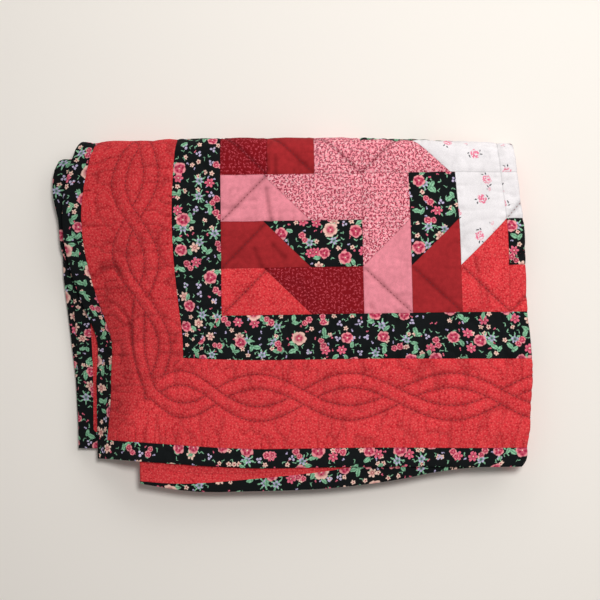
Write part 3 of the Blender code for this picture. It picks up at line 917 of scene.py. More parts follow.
def place(u, v, face, half_thickness, rise):
    """Carries points of the flat cloth into the pack. face is 1 on the patchwork, -1 behind.

    The rise is that of the face where it is the outside of the pack.
    """
    length = v + slip(u)
    flat_x, _ = fold_across(u, v, 0.0)
    top = top_fold(flat_x)
    left_over = (top + math.pi * TOP_RADIUS - length) / TOP_RADIUS
    share = smoothstep(left_over) * (1 - smoothstep((u - RIGHT_FOLD) / HALF_TURN))
    w = face * half_thickness + np.where(face > 0, rise * share, 0.0)
    x, h = fold_across(u, v, w)
    y, z = fold_over(length, h, x)
    x, y, z = settle(x, y, z)
    on_top = (face > 0) & (u < RIGHT_FOLD) & (length < top + TOP_RADIUS)
    fade = 1.0 - smoothstep((length - TOP_FOLD + TOP_RADIUS) / TOP_RADIUS)
    z = z + np.where(on_top, crease_height(x, y) * fade, 0.0)
    return np.stack([x, y, z], axis=-1) + np.array(PACK_TO_ROW)


def lines_through(runs, end):
    """Lines at equal steps. Each run gives its start and how many steps lead to the next one."""
    lines = []
    for (start, steps), (stop, _) in zip(runs, runs[1:] + [(end, 0)]):
        lines += list(np.linspace(start, stop, steps, endpoint=False))
    return lines + [end]


def column_lines():
    """The u of each base column of the sheet."""
    runs = [
        # (start, equal steps to the next start)
        (BINDING, BORDER_CELLS),
        (BORDER_END, 7 * BASE_CELLS),
        (FRAME_WIDTH + 6 * PATCH, 2),
        (RIGHT_FOLD, TURN_CELLS),
        (SECOND_START, 20),
        (SECOND_END, TURN_CELLS),
        (THIRD_START, 9),
    ]
    return lines_through(runs, QUILT_WIDTH - BINDING)


def row_lines(u):
    """The v of each base row of the sheet in the column at u. The hidden rows follow the turns."""
    slid = slip(u)
    flat_x, _ = fold_across(u, 0.0, 0.0)
    _, _, near_start, near_end, inner_start, inner_end = (turn - slid for turn in turns_of(flat_x))
    runs = [
        # (start, equal steps to the next start)
        (BINDING, BORDER_CELLS),
        (BORDER_END, 4 * BASE_CELLS),
        (FRAME_WIDTH + BLOCK, 4 * BASE_CELLS),
        (BACK_END, UNDERSIDE_CELLS),
        (UNDERSIDE_END, 1),
        (near_start, 6),
        (near_end, 5),
        (inner_start, 6),
        (inner_end, 14),
        (STEPS_END, 12),
    ]
    return lines_through(runs, QUILT_HEIGHT - BINDING)


def flat_grid(columns, rows):
    """A flat grid whose points hold whole numbers: their column, their row, and -1 for the back."""
    bm = bmesh.new()
    bmesh.ops.create_grid(bm, x_segments=columns, y_segments=rows, size=1.0)
    for vert in bm.verts:
        vert.co.x = round((vert.co.x + 1.0) / 2 * columns)
        vert.co.y = round((vert.co.y + 1.0) / 2 * rows)
        vert.co.z = -1.0
    return bm


def give_thickness(bm):
    """Extrudes the flat faces upwards into a closed slab with its faces outwards."""
    made = bmesh.ops.extrude_face_region(bm, geom=bm.faces[:])
    for item in made["geom"]:
        if isinstance(item, bmesh.types.BMVert):
            item.co.z = 1.0
    bmesh.ops.recalc_face_normals(bm, faces=bm.faces[:])


def value_at(lines, index):
    """The line at an index, and between two lines where the index is not whole."""
    return np.interp(index, range(len(lines)), lines)


def cell_size_at(u, v):
    """How fine the front is cut: finest where it shows on top, then round the top, then below."""
    if u > SECOND_START or v > UNDERSIDE_END:
        return BLOCK
    if v < FINE_END:
        return FINE_CELL
    return SOFT_CELL if v < BACK_END else PLAIN_CELL


def make_fine(bm, columns, rows):
    """Cuts the front's cells across and then up, each into as many as its place asks for."""
    for direction in (0, 1):
        groups = {}
        for edge in bm.edges:
            first, second = edge.verts[0].co, edge.verts[1].co
            if min(first.z, second.z) < 0 or first[1 - direction] != second[1 - direction]:
                continue
            middle = (first + second) / 2
            u, v = value_at(columns, middle.x), value_at(rows, middle.y)
            lines = (columns, rows)[direction]
            size = abs(value_at(lines, first[direction]) - value_at(lines, second[direction]))
            cuts = round(size / cell_size_at(u, v)) - 1
            if cuts > 0:
                groups.setdefault(cuts, []).append(edge)
        for cuts, edges in sorted(groups.items()):
            bmesh.ops.subdivide_edges(bm, edges=edges, cuts=cuts, use_grid_fill=True)


def cloth_places(index, columns, rows_at):
    """u and v of each point from its column and row."""
    u = value_at(columns, index[:, 0])
    v = np.empty_like(u)
    for column in np.unique(u):
        here = u == column
        v[here] = value_at(rows_at(column), index[here, 1])
    return u, v


def on_slanted_seam(u, v):
    """Whether a place is exactly on a slanted seam, seen from any side of it."""
    offs = []
    for a in (-NEAR, NEAR):
        for b in (-NEAR, NEAR):
            _, _, turned, s, t = in_block(u + a, v + b)
            offs.append(abs(slant_of(turned, s, t)))
    return np.min(offs, axis=0) < 2 * NEAR


def cut_slants(bm, columns, rows_at):
    """Cuts the cells of the front that a slanted seam crosses from corner to corner."""
    index = np.array([vert.co for vert in bm.verts])
    u, v = cloth_places(index, columns, rows_at)
    inside = np.minimum(*from_edges(u, v)) > FRAME_WIDTH - NEAR
    on_slant = inside & (index[:, 2] > 0) & (v < UNDERSIDE_END) & on_slanted_seam(u, v)
    verts = [vert for vert, here in zip(bm.verts, on_slant) if here]
    bmesh.ops.connect_verts(bm, verts=verts, check_degenerate=True)


def fabric_at(u, v):
    """The number of the fabric at each place of the front, and a number for the patch it is in."""
    side, hem = from_edges(u, v)
    nearest = np.minimum(side, hem)
    i, j, turned, s, t = in_block(u, v)
    early = (i == EARLY_BLOCK[0]) & (j == EARLY_BLOCK[1]) & (s < 2 * PATCH - SLANT_SHIFT)
    early = early & (t > PATCH - EARLY_SEAM) & (t < PATCH)
    t = np.where(early, PATCH, t)
    strip = np.clip(t // PATCH, 0, 2).astype(int)
    right = (slant_of(turned, s, t) > 0).astype(int)
    fabric = np.empty(len(u), int)
    for n, block in enumerate(zip(i.astype(int), j.astype(int))):
        rows = BLOCK_FABRICS.get(block) or [
            choice[(block[0] + 2 * block[1] + k) % len(choice)] for k, choice in enumerate(OTHER_STRIPS)
        ]
        fabric[n] = rows[strip[n]][right[n]]
    patch = FIRST_PATCH_PRINT + PATCHES_IN_BLOCK * (i + BLOCKS_ACROSS * j) + 2 * strip + right
    band = (side >= hem) * 2
    fabric = np.where(nearest < FRAME_WIDTH, FLORAL, fabric)
    fabric = np.where(nearest < BORDER_END, RED_PRINT, fabric)
    patch = np.where(nearest < FRAME_WIDTH, band + (nearest < BORDER_END), patch)
    return fabric, patch.astype(int)


def turned_at(u, v, patch):
    """1 where the fabric's grain runs up the quilt and 0 where it runs across."""
    _, _, turned, _, _ = in_block(u, v)
    return np.where(patch < FIRST_PATCH_PRINT, patch < 2, turned)


def mesh_of(name, bm):
    """A mesh made from the finished bmesh."""
    mesh = bpy.data.meshes.new(name)
    bm.to_mesh(mesh)
    bm.free()
    return mesh


def move_points(mesh, points):
    mesh.vertices.foreach_set("co", points.astype(np.float32).ravel())


def new_object(name, data):
    """An object in the scene, at the origin and unturned."""
    made = bpy.data.objects.new(name, data)
    bpy.context.scene.collection.objects.link(made)
    return made


def new_material(name, **shader_values):
    """A material, and its shader with some values set."""
    made = bpy.data.materials.new(name)
    made.use_nodes = True
    shader = made.node_tree.nodes["Principled BSDF"]
    for key, value in shader_values.items():
        shader.inputs[key].default_value = value
    return made, shader


class Cloth:
    """A mesh of points that know their place in the cloth, ready for its maps and materials."""

    def __init__(self, name, bm, columns, rows_at):
        self.index = np.array([vert.co for vert in bm.verts])
        self.u, self.v = cloth_places(self.index, columns, rows_at)
        self.face = np.sign(self.index[:, 2])
        self.mesh = mesh_of(name, bm)
        self.corner = np.empty(len(self.mesh.loops), int)
        self.mesh.loops.foreach_get("vertex_index", self.corner)
        self.starts = np.empty(len(self.mesh.polygons), int)
        self.mesh.polygons.foreach_get("loop_start", self.starts)
        self.counts = np.empty(len(self.mesh.polygons), int)
        self.mesh.polygons.foreach_get("loop_total", self.counts)
        self.corner_u, self.corner_v = self.u[self.corner], self.v[self.corner]

    def face_mean(self, values):
        """The mean of each face's corners."""
        return np.add.reduceat(values[self.corner], self.starts) / self.counts

    def at_corners(self, values):
        """Each face's value, for each of its corners."""
        return np.repeat(values, self.counts)

    def rim_step(self, side):
        """How far the rim's corners on the back are set off. side is each corner's side."""
        behind = self.face[self.corner] < 0
        return np.where((abs(side) < 0.5) & behind, RIM_STEP, 0.0)

    def add_map(self, name, across, up):
        """Adds a UV map from a value for each corner."""
        layer = self.mesh.uv_layers.new(name=name)
        layer.uv.foreach_set("vector", np.stack([across, up], axis=-1).astype(np.float32).ravel())

    def add_value(self, name, values):
        """Adds a value for each point that a material can read."""
        layer = self.mesh.attributes.new(name, "FLOAT", "POINT")
        layer.data.foreach_set("value", values.astype(np.float32))

    def finish(self, points, finishes, slots):
        """Moves the points into place, hands out the materials and makes the object."""
        move_points(self.mesh, points)
        for finish in finishes:
            self.mesh.materials.append(finish)
        self.mesh.polygons.foreach_set("material_index", slots.astype(np.int32))
        self.mesh.shade_smooth()
        self.mesh.set_sharp_from_angle(angle=SHARP_ANGLE)
        self.mesh.update()
        return new_object(self.mesh.name, self.mesh)


def add_print_map(cloth, patch, turned):
    """The map that the prints read: the cloth's own metres, shifted and turned for each patch."""
    random = np.random.default_rng(PRINT_SEED)
    shifts = random.uniform(0.0, PRINT_SHIFT, (int(patch.max()) + 1, 2))
    u, v = cloth.corner_u, cloth.corner_v
    patch, turned = cloth.at_corners(patch), cloth.at_corners(turned)
    across, up = np.where(turned, v, u), np.where(turned, -u, v)
    cloth.add_map("print", across + shifts[patch, 0], up + shifts[patch, 1])


def add_sheet_bake_map(cloth):
    """The map that the finished colours are baked through. The face that shows gets most of it."""
    u, v = cloth.corner_u, cloth.corner_v
    across, front, back = between(SHEET_ACROSS, u), between(SHEET_FRONT, v), between(SHEET_BACK, v)
    side = cloth.at_corners(cloth.face_mean(cloth.face))
    step = cloth.rim_step(side)
    off_side, off_hem = from_edges(u, v)
    outwards = np.sign(u - QUILT_WIDTH / 2) * (off_side < BINDING + NEAR)
    upwards = np.sign(v - QUILT_HEIGHT / 2) * (off_hem < BINDING + NEAR)
    up = np.where(side > -0.5, front, back)
    cloth.add_map("OFBake", across + outwards * step, up + upwards * step)


def add_binding_bake_map(cloth):
    """The same for the binding: its four sides as strips, with the back's above the front's."""
    side, hem = from_edges(cloth.u, cloth.v)
    middle_side, middle_hem = cloth.face_mean(side), cloth.face_mean(hem)
    far_u = cloth.face_mean(cloth.u) > QUILT_WIDTH / 2
    far_v = cloth.face_mean(cloth.v) > QUILT_HEIGHT / 2
    on_side = middle_side < middle_hem
    mean = cloth.face_mean(cloth.face)
    strip = np.where(on_side, np.where(far_u, 1, 0), np.where(far_v, 3, 2)) + 4 * (mean < -0.5)
    on_side, strip, mean = (cloth.at_corners(values) for values in (on_side, strip, mean))
    run = np.where(on_side, cloth.corner_v / QUILT_HEIGHT, cloth.corner_u / QUILT_WIDTH)
    off = np.where(on_side, side[cloth.corner], hem[cloth.corner])
    off = off / BINDING * STRIP_HEIGHT + cloth.rim_step(mean) * np.sign(off - BINDING / 2)
    run_start, run_length = STRIP_RUN
    cloth.add_map("OFBake", run_start + run_length * run, STRIP_START + STRIP_PITCH * strip + off)


def sheet_cloth():
    """The quilted sheet within its binding, still flat."""
    columns = column_lines()
    rows = row_lines(SAMPLE_U)
    bm = flat_grid(len(columns) - 1, len(rows) - 1)
    give_thickness(bm)
    make_fine(bm, columns, rows)
    cut_slants(bm, columns, row_lines)
    return Cloth("quilt_sheet", bm, columns, row_lines)


def with_binding(lines, full_length):
    """Swaps the outermost lines of the sheet for the lines of the binding beyond them."""
    far = [full_length - line for line in reversed(BINDING_LINES)]
    return [*BINDING_LINES, *lines[1:-1], *far]


def binding_cloth():
    """The binding: a frame of doubled cloth round the sheet, still flat."""
    columns = with_binding(column_lines(), QUILT_WIDTH)

    def rows_at(u):
        return with_binding(row_lines(u), QUILT_HEIGHT)

    rows = rows_at(SAMPLE_U)
    last_column, last_row = len(columns) - 1, len(rows) - 1
    bm = flat_grid(last_column, last_row)
    bound = len(BINDING_LINES) - 1
    inside = []
    for face in bm.faces:
        middle = face.calc_center_median()
        if bound < middle.x < last_column - bound and bound < middle.y < last_row - bound:
            inside.append(face)
    bmesh.ops.delete(bm, geom=inside, context="FACES")
    give_thickness(bm)
    make_fine(bm, columns, rows)
    return Cloth("bound_edge", bm, columns, rows_at)


class Nodes:
    """Makes the nodes of one material, and joins them as it makes them."""

    def __init__(self, name):
        self.material, self.shader = new_material(name, **CLOTH_SHADER)
        self.tree = self.material.node_tree
        self.millimetres = self.vector("SCALE", self.map("print"), scale=MILLIMETRES)

    def join(self, value, socket):
        if isinstance(value, bpy.types.NodeSocket):
            self.tree.links.new(value, socket)
        elif socket.type == "RGBA":
            socket.default_value = (*value, 1.0)
        else:
            socket.default_value = value

    def add(self, kind, sockets=None, **settings):
        made = self.tree.nodes.new("ShaderNode" + kind)
        for key, value in settings.items():
            setattr(made, key, value)
        for key, value in (sockets or {}).items():
            self.join(value, made.inputs[key])
        return made

    def map(self, name):
        return self.add("UVMap", uv_map=name).outputs["UV"]

    def attribute(self, name):
        return self.add("Attribute", attribute_name=name).outputs["Fac"]

    def math(self, operation, *values, clamp=False):
        sockets = dict(enumerate(values))
        return self.add("Math", sockets, operation=operation, use_clamp=clamp).outputs[0]

    def vector(self, operation, *values, scale=None):
        sockets = dict(enumerate(values))
        if scale is not None:
            sockets["Scale"] = scale
        return self.add("VectorMath", sockets, operation=operation).outputs[0]

    def mix(self, share, first, second, blend="MIX"):
        """first where the share is 0 and second where it is 1."""
        sockets = {0: share, 6: first, 7: second}
        return self.add("Mix", sockets, data_type="RGBA", blend_type=blend).outputs[2]

    def ramp(self, value, low, high, start=0.0, end=1.0):
        """start where the value is low and end where it is high, and straight between."""
        sockets = {"Value": value, "From Min": low, "From Max": high, "To Min": start, "To Max": end}
        return self.add("MapRange", sockets, clamp=True).outputs["Result"]

    def noise(self, place, size, detail=2.0, seed=0.0):
        moved = self.vector("ADD", place, [seed * shift for shift in NOISE_SHIFT])
        sockets = {"Vector": moved, "Scale": 1.0 / size, "Detail": detail}
        return self.add("TexNoise", sockets, noise_dimensions="3D").outputs["Fac"]

    def split(self, place):
        parts = self.add("SeparateXYZ", {"Vector": place}).outputs
        return parts["X"], parts["Y"]

    def scatter(self, place, spacing, seed, loose=0.75):
        """Motifs over the print, each turned its own way.

        Gives the place from the middle of the nearest motif, and two random numbers of its own.
        """
        moved = self.vector("ADD", place, [seed * shift for shift in SCATTER_SHIFT])
        sockets = {"Vector": moved, "Scale": 1.0 / spacing, "Randomness": loose}
        cells = self.add("TexVoronoi", sockets, voronoi_dimensions="2D")
        own = self.vector("SUBTRACT", moved, cells.outputs["Position"])
        chances = self.add("SeparateColor", {"Color": cells.outputs["Color"]}).outputs
        angle = self.math("MULTIPLY", chances["Red"], math.tau)
        turned = self.add("VectorRotate", {"Vector": own, "Angle": angle}, rotation_type="Z_AXIS")
        return turned.outputs["Vector"], chances["Green"], chances["Blue"]

    def polar(self, place):
        x, y = self.split(place)
        return self.vector_length(place), self.math("ARCTAN2", y, x)

    def vector_length(self, place):
        made = self.add("VectorMath", {0: place}, operation="LENGTH")
        return made.outputs["Value"]

    def within(self, value, high, low=0.0):
        """1 while the value is low and 0 once it is high."""
        return self.ramp(value, low, high, 1.0, 0.0)

    def discs(self, place, *spots, soft=0.25):
        """1 inside any of some small discs, each given by its x, y and radius."""
        masks = []
        for x, y, radius in spots:
            off = self.vector_length(self.vector("SUBTRACT", place, (x, y, 0.0)))
            masks.append(self.within(off, radius + soft, radius - soft))
        return self.any_of(*masks)

    def lobe(self, angle, petals):
        """1 along the middle of each petal and 0 between two."""
        turn = self.math("MULTIPLY", angle, petals / 2)
        return self.math("ABSOLUTE", self.math("COSINE", turn))

    def flower(self, radius, angle, size, petals, notch, soft=0.35, point=0.7):
        """1 inside a flower, whose petals are cut in by the notch's share of its size."""
        lobe = self.math("POWER", self.lobe(angle, petals), point)
        reach = self.math("MULTIPLY_ADD", lobe, size * notch, size * (1.0 - notch))
        return self.within(self.math("SUBTRACT", radius, reach), soft, -soft)

    def leaf(self, place, x, y, angle, half_length, half_width, soft=0.18):
        """1 inside a pointed leaf. Also gives how far off its middle line a place is."""
        own = self.vector("SUBTRACT", place, (x, y, 0.0))
        turned = self.add("VectorRotate", {"Vector": own, "Angle": angle}, rotation_type="Z_AXIS")
        down, across = self.split(turned.outputs["Vector"])
        down = self.math("DIVIDE", down, half_length)
        width = self.math("MULTIPLY_ADD", self.math("MULTIPLY", down, down), -half_width, half_width)
        across = self.math("ABSOLUTE", across)
        return self.within(self.math("SUBTRACT", across, width), soft, -soft), across

    def leaves(self, place, *shapes):
        """1 inside any of some pointed leaves, each given as for one leaf."""
        return self.any_of(*[self.leaf(place, *shape)[0] for shape in shapes])

    def any_of(self, *masks):
        """1 where any mask is."""
        total = masks[0]
        for mask in masks[1:]:
            total = self.math("MAXIMUM", total, mask)
        return total

    def where(self, mask, chance, low, high):
        """The mask, kept only on the motifs whose chance is between low and high."""
        above = self.math("GREATER_THAN", chance, low)
        below = self.math("LESS_THAN", chance, high)
        return self.math("MULTIPLY", mask, self.math("MULTIPLY", above, below))

    def motif(self, ground, mask, ink, chance, low, high):
        """The ground with a motif printed on it where its chance is between low and high."""
        return self.mix(self.where(mask, chance, low, high), ground, ink)

    def hand_drawn(self, amount, size):
        """The print's place with a wavering line, in millimetres."""
        sockets = {"Vector": self.millimetres, "Scale": 1.0 / size, "Detail": 1.0}
        drift = self.add("TexNoise", sockets, noise_dimensions="3D").outputs["Color"]
        drift = self.vector("SUBTRACT", drift, (0.5, 0.5, 0.5))
        return self.vector("ADD", self.millimetres, self.vector("SCALE", drift, scale=amount))

    def finish(self, colour):
        """Weave and wash over the printed colour, as quilting cotton has, with painted shade along the
        seams, stitches, puckers and creases and over the side borders.
        """
        place = self.millimetres
        warp = self.noise(self.vector("MULTIPLY", place, WARP), 1.0, 1.0)
        weft = self.noise(self.vector("MULTIPLY", place, WEFT), 1.0, 1.0, seed=WEFT_SEED)
        weave = self.math("ADD", warp, weft)
        tone = self.ramp(weave, *WEAVE_RANGE, *WEAVE_TONE)
        wash = self.ramp(self.noise(place, *WASH), *WASH_RANGE, *WASH_TONE)
        # Painted shade: darker close to each seam, where its groove would shade the cloth
        seam = self.ramp(self.attribute("seam_distance"), *SEAM_RANGE, *PAINTED_SEAM_SHADE)
        # Painted shade in stitches, puckers and creases and over the side borders
        depth = self.ramp(self.attribute("hollow_and_painted_shade"), *HOLLOW_RANGE, *PAINTED_HOLLOW_SHADE)
        for share in (wash, self.math("MULTIPLY", seam, depth)):
            tone = self.math("MULTIPLY", tone, share)
        grey = self.add("CombineColor", {"Red": tone, "Green": tone, "Blue": tone}).outputs["Color"]
        self.join(self.mix(1.0, colour, grey, "MULTIPLY"), self.shader.inputs["Base Color"])
        self.join(self.ramp(weave, *WEAVE_RANGE, *WEAVE_ROUGHNESS), self.shader.inputs["Roughness"])
        height = self.math("MULTIPLY_ADD", self.noise(place, *SLUBS), SLUB_SHARE, weave)
        bump = self.add("Bump", {**CLOTH_BUMP, "Height": height})
        self.join(bump.outputs["Normal"], self.shader.inputs["Normal"])
        return self.material


def red_colour(nodes, colours):
    """A bright red print of fine lighter dots and squiggles, with darker mottling."""
    drawn = nodes.hand_drawn(*RED_HAND)
    own, _, _ = nodes.scatter(drawn, *RED_DOTS)
    dots = nodes.discs(own, RED_DOT, soft=SOFT_DOT_EDGE)
    squiggles = nodes.ramp(nodes.noise(drawn, *RED_SQUIGGLES), *RED_SQUIGGLE_RAMP)
    light = nodes.any_of(dots, squiggles)
    dark = nodes.ramp(nodes.noise(drawn, *RED_MOTTLING), *RED_MOTTLING_RAMP)
    colour = nodes.mix(dark, colours.red, colours.red_dark)
    return nodes.mix(light, colour, colours.red_light)


def blossom(nodes, own, size, colours):
    """An open flower of five round petals with shaded folds between them, and its colour."""
    radius, angle = nodes.polar(own)
    petals = BLOSSOM_PETALS
    mask = nodes.flower(radius, angle, size, petals, BLOSSOM_NOTCH, BLOSSOM_EDGE, BLOSSOM_POINT)
    depth = nodes.math("DIVIDE", radius, size)
    waver = nodes.math("SINE", nodes.math("MULTIPLY", angle, BLOSSOM_WAVER))
    rings = nodes.math("SINE", nodes.math("MULTIPLY_ADD", depth, BLOSSOM_RINGS, waver))
    light = nodes.math("MULTIPLY", depth, RIM_LIGHT)
    light = nodes.math("MULTIPLY_ADD", nodes.lobe(angle, petals), PETAL_LIGHT, light)
    light = nodes.ramp(nodes.math("MULTIPLY_ADD", rings, RING_LIGHT, light), *BLOSSOM_RAMP)
    colour = nodes.mix(light, colours.crimson, colours.petal)
    colour = nodes.mix(nodes.ramp(light, *PALE_PETAL_RAMP), colour, colours.peach)
    eye = nodes.within(radius, *[size * share for share in BLOSSOM_EYE])
    return mask, nodes.mix(eye, colour, colours.peach)


def floral_colour(nodes, colours):
    """A black print with open flowers, stars, spiky wisps, lavender sprigs and mint leaves."""
    drawn = nodes.vector("SCALE", nodes.hand_drawn(*FLORAL_HAND), scale=FLORAL_SCALE)
    mint, moss, lavender = colours.mint, colours.moss, colours.lavender
    peach, petal, crimson = colours.peach, colours.petal, colours.crimson
    shaded = nodes.ramp(nodes.noise(drawn, *LEAF_SHADE), *LEAF_SHADE_RAMP)
    leaf_colour = nodes.mix(shaded, mint, nodes.mix(0.5, mint, moss))

    # Buds, blades and little stars between the flowers
    own, chance, tint = nodes.scatter(drawn, *SMALL_MOTIFS)
    radius, angle = nodes.polar(own)
    blades = nodes.leaves(own, *BLADES)
    colour = nodes.motif(colours.black, blades, leaf_colour, chance, *BLADE_CHANCE)
    bud_colour = nodes.mix(nodes.math("GREATER_THAN", tint, 0.5), lavender, petal)
    colour = nodes.motif(colour, nodes.discs(own, *BUDS), bud_colour, chance, *BUD_CHANCE)
    star = nodes.flower(radius, angle, *SMALL_STAR)
    star_colour = nodes.mix(nodes.within(radius, *SMALL_STAR_EYE), peach, crimson)
    colour = nodes.motif(colour, star, star_colour, chance, *SMALL_STAR_CHANCE)

    # Spiky wisps, lavender clusters, stars and leaves of a middle size
    own, chance, tint = nodes.scatter(drawn, *MIDDLE_MOTIFS)
    radius, angle = nodes.polar(own)
    tuft = nodes.flower(radius, angle, *TUFT)
    tuft_colour = nodes.mix(nodes.ramp(radius, *TUFT_RAMP), moss, lavender)
    wisp_colour = nodes.mix(tuft, leaf_colour, tuft_colour)
    wisp = nodes.any_of(nodes.flower(radius, angle, *WISP), tuft)
    colour = nodes.motif(colour, wisp, wisp_colour, chance, *WISP_CHANCE)
    cluster, eyes = (
        nodes.discs(own, *[(*spot, reach) for spot in CLUSTER_SPOTS], soft=CLUSTER_EDGE)
        for reach in CLUSTER_RADII
    )
    pale = nodes.mix(CLUSTER_PALENESS, lavender, colours.white)
    eye_colour = nodes.mix(CLUSTER_EYE_SHADE, lavender, crimson)
    cluster_colour = nodes.mix(eyes, nodes.mix(shaded, lavender, pale), eye_colour)
    colour = nodes.motif(colour, cluster, cluster_colour, chance, *CLUSTER_CHANCE)
    star = nodes.flower(radius, angle, *STAR)
    star_colour = nodes.mix(nodes.math("GREATER_THAN", tint, PEACH_STARS), peach, petal)
    star_colour = nodes.mix(nodes.ramp(radius, *STAR_SHADE_RAMP), star_colour, crimson)
    star_colour = nodes.mix(nodes.within(radius, *STAR_EYE), star_colour, peach)
    colour = nodes.motif(colour, star, star_colour, chance, *STAR_CHANCE)
    (first, first_off), (second, second_off) = (nodes.leaf(own, *shape) for shape in LEAF_PAIR)
    vein = nodes.ramp(nodes.math("MINIMUM", first_off, second_off), *VEIN_RAMP)
    veined = nodes.mix(vein, leaf_colour, moss)
    colour = nodes.motif(colour, nodes.any_of(first, second), veined, chance, *LEAF_PAIR_CHANCE)

    # Twin blossoms, and the large open flowers with a leaf each
    own, chance, tint = nodes.scatter(drawn, *LARGE_MOTIFS)
    for x, y, size in TWINS:
        off = nodes.vector("SUBTRACT", own, (x, y, 0.0))
        colour = nodes.motif(colour, *blossom(nodes, off, size, colours), chance, *TWIN_CHANCE)
    leaf, leaf_off = nodes.leaf(own, *LARGE_LEAF)
    veined = nodes.mix(nodes.ramp(leaf_off, *VEIN_RAMP), leaf_colour, moss)
    colour = nodes.motif(colour, leaf, veined, chance, *LARGE_LEAF_CHANCE)
    own = nodes.vector("SCALE", own, scale=nodes.ramp(tint, *LARGE_BLOSSOM_SCALES))
    mask, mask_colour = blossom(nodes, own, LARGE_BLOSSOM, colours)
    pale_rim = nodes.ramp(nodes.vector_length(own), *PALE_RIM_RAMP)
    pale_rim = nodes.math("MULTIPLY", pale_rim, nodes.math("GREATER_THAN", tint, PALE_RIMS))
    paler = nodes.mix(pale_rim, mask_colour, peach)
    return nodes.motif(colour, mask, paler, chance, *LARGE_BLOSSOM_CHANCE)


def red_print(colours):
    nodes = Nodes("red_squiggle_cotton")
    return nodes.finish(red_colour(nodes, colours))


def floral(colours):
    nodes = Nodes("black_flower_cotton")
    return nodes.finish(floral_colour(nodes, colours))


def binding_fabric(colours):
    """The black print, and beyond the binding's edge on the back, the red print of the back."""
    nodes = Nodes("binding_flower_cotton")
    beyond = nodes.math("GREATER_THAN", nodes.attribute("backing"), 0.0)
    return nodes.finish(nodes.mix(beyond, floral_colour(nodes, colours), red_colour(nodes, colours)))


def leafy_specks(nodes, place, spacing, seed, size):
    """Small bent leaves, each a short arc, over a print."""
    own, _, _ = nodes.scatter(place, spacing, seed, SPECK_LOOSENESS)
    x, y = nodes.split(own)
    bend = nodes.math("MULTIPLY_ADD", nodes.math("MULTIPLY", x, x), -SPECK_BEND / size, y)
    line = nodes.within(nodes.math("ABSOLUTE", bend), *[size * share for share in SPECK_WIDTH])
    ends = nodes.within(nodes.math("ABSOLUTE", x), *[size * share for share in SPECK_LENGTH])
    return nodes.math("MULTIPLY", line, ends)


def ditsy(colours):
    """A pink print of small crimson leaves and lighter buds."""
    nodes = Nodes("pink_leaf_cotton")
    drawn = nodes.hand_drawn(*FINE_HAND)
    small = leafy_specks(nodes, drawn, *DITSY_SMALL)
    large = leafy_specks(nodes, drawn, *DITSY_LARGE)
    own, chance, _ = nodes.scatter(drawn, *DITSY_BUDS)
    buds = nodes.discs(own, DITSY_BUD, soft=SOFT_DOT_EDGE)
    colour = nodes.motif(colours.ditsy, buds, colours.ditsy_light, chance, *DITSY_BUD_CHANCE)
    return nodes.finish(nodes.mix(nodes.any_of(small, large), colour, colours.ditsy_leaf))


def dark_print(colours):
    """A deep red print of small pink leaves."""
    nodes = Nodes("deep_red_leaf_cotton")
    drawn = nodes.hand_drawn(*FINE_HAND)
    leaves = leafy_specks(nodes, drawn, *DEEP_LEAVES)
    faint_leaves = leafy_specks(nodes, drawn, *DEEP_FAINT_LEAVES)
    fainter = nodes.math("MULTIPLY", faint_leaves, DEEP_FAINTNESS)
    return nodes.finish(nodes.mix(nodes.any_of(leaves, fainter), colours.deep, colours.deep_light))


def plain(name, ground):
    """A plain cotton."""
    nodes = Nodes(name)
    darker = [value * PLAIN_SHADE for value in ground]
    mottled = nodes.ramp(nodes.noise(nodes.millimetres, *PLAIN_MOTTLING), *PLAIN_MOTTLING_RAMP)
    return nodes.finish(nodes.mix(mottled, ground, darker))


def rose_print(colours):
    """A white print with scattered roses and dark sprigs."""
    nodes = Nodes("white_rose_cotton")
    drawn = nodes.hand_drawn(*ROSE_HAND)
    white, rose, sprig = colours.white, colours.rose, colours.sprig
    strokes = nodes.ramp(nodes.noise(drawn, *ROSE_STROKES), *ROSE_STROKES_RAMP)
    own, chance, _ = nodes.scatter(drawn, *ROSEBUDS)
    bud = nodes.any_of(*[nodes.discs(own, disc, soft=edge) for disc, edge in ROSEBUD_DISCS])
    bud = nodes.math("MULTIPLY", bud, strokes)
    colour = nodes.motif(white, bud, nodes.mix(0.5, rose, white), chance, *ROSEBUD_CHANCE)
    leaf_colour = nodes.mix(ROSEBUD_LEAF_SHADE, sprig, white)
    leaf = nodes.leaves(own, ROSEBUD_LEAF)
    colour = nodes.motif(colour, leaf, leaf_colour, chance, *ROSEBUD_CHANCE)
    own, chance, _ = nodes.scatter(drawn, *ROSES_SCATTER)
    radius, angle = nodes.polar(own)
    petals = nodes.math("MULTIPLY", nodes.flower(radius, angle, *ROSE_PETALS), strokes)
    colour = nodes.mix(petals, colour, rose)
    return nodes.finish(nodes.mix(nodes.leaves(own, *ROSE_LEAVES), colour, sprig))


def fabrics(colours):
    """The fabrics in the order of their numbers."""
    return [
        red_print(colours),
        floral(colours),
        ditsy(colours),
        plain("pink_cotton", colours.pink),
        plain("brick_red_cotton", colours.brick),
        dark_print(colours),
        rose_print(colours),
    ]


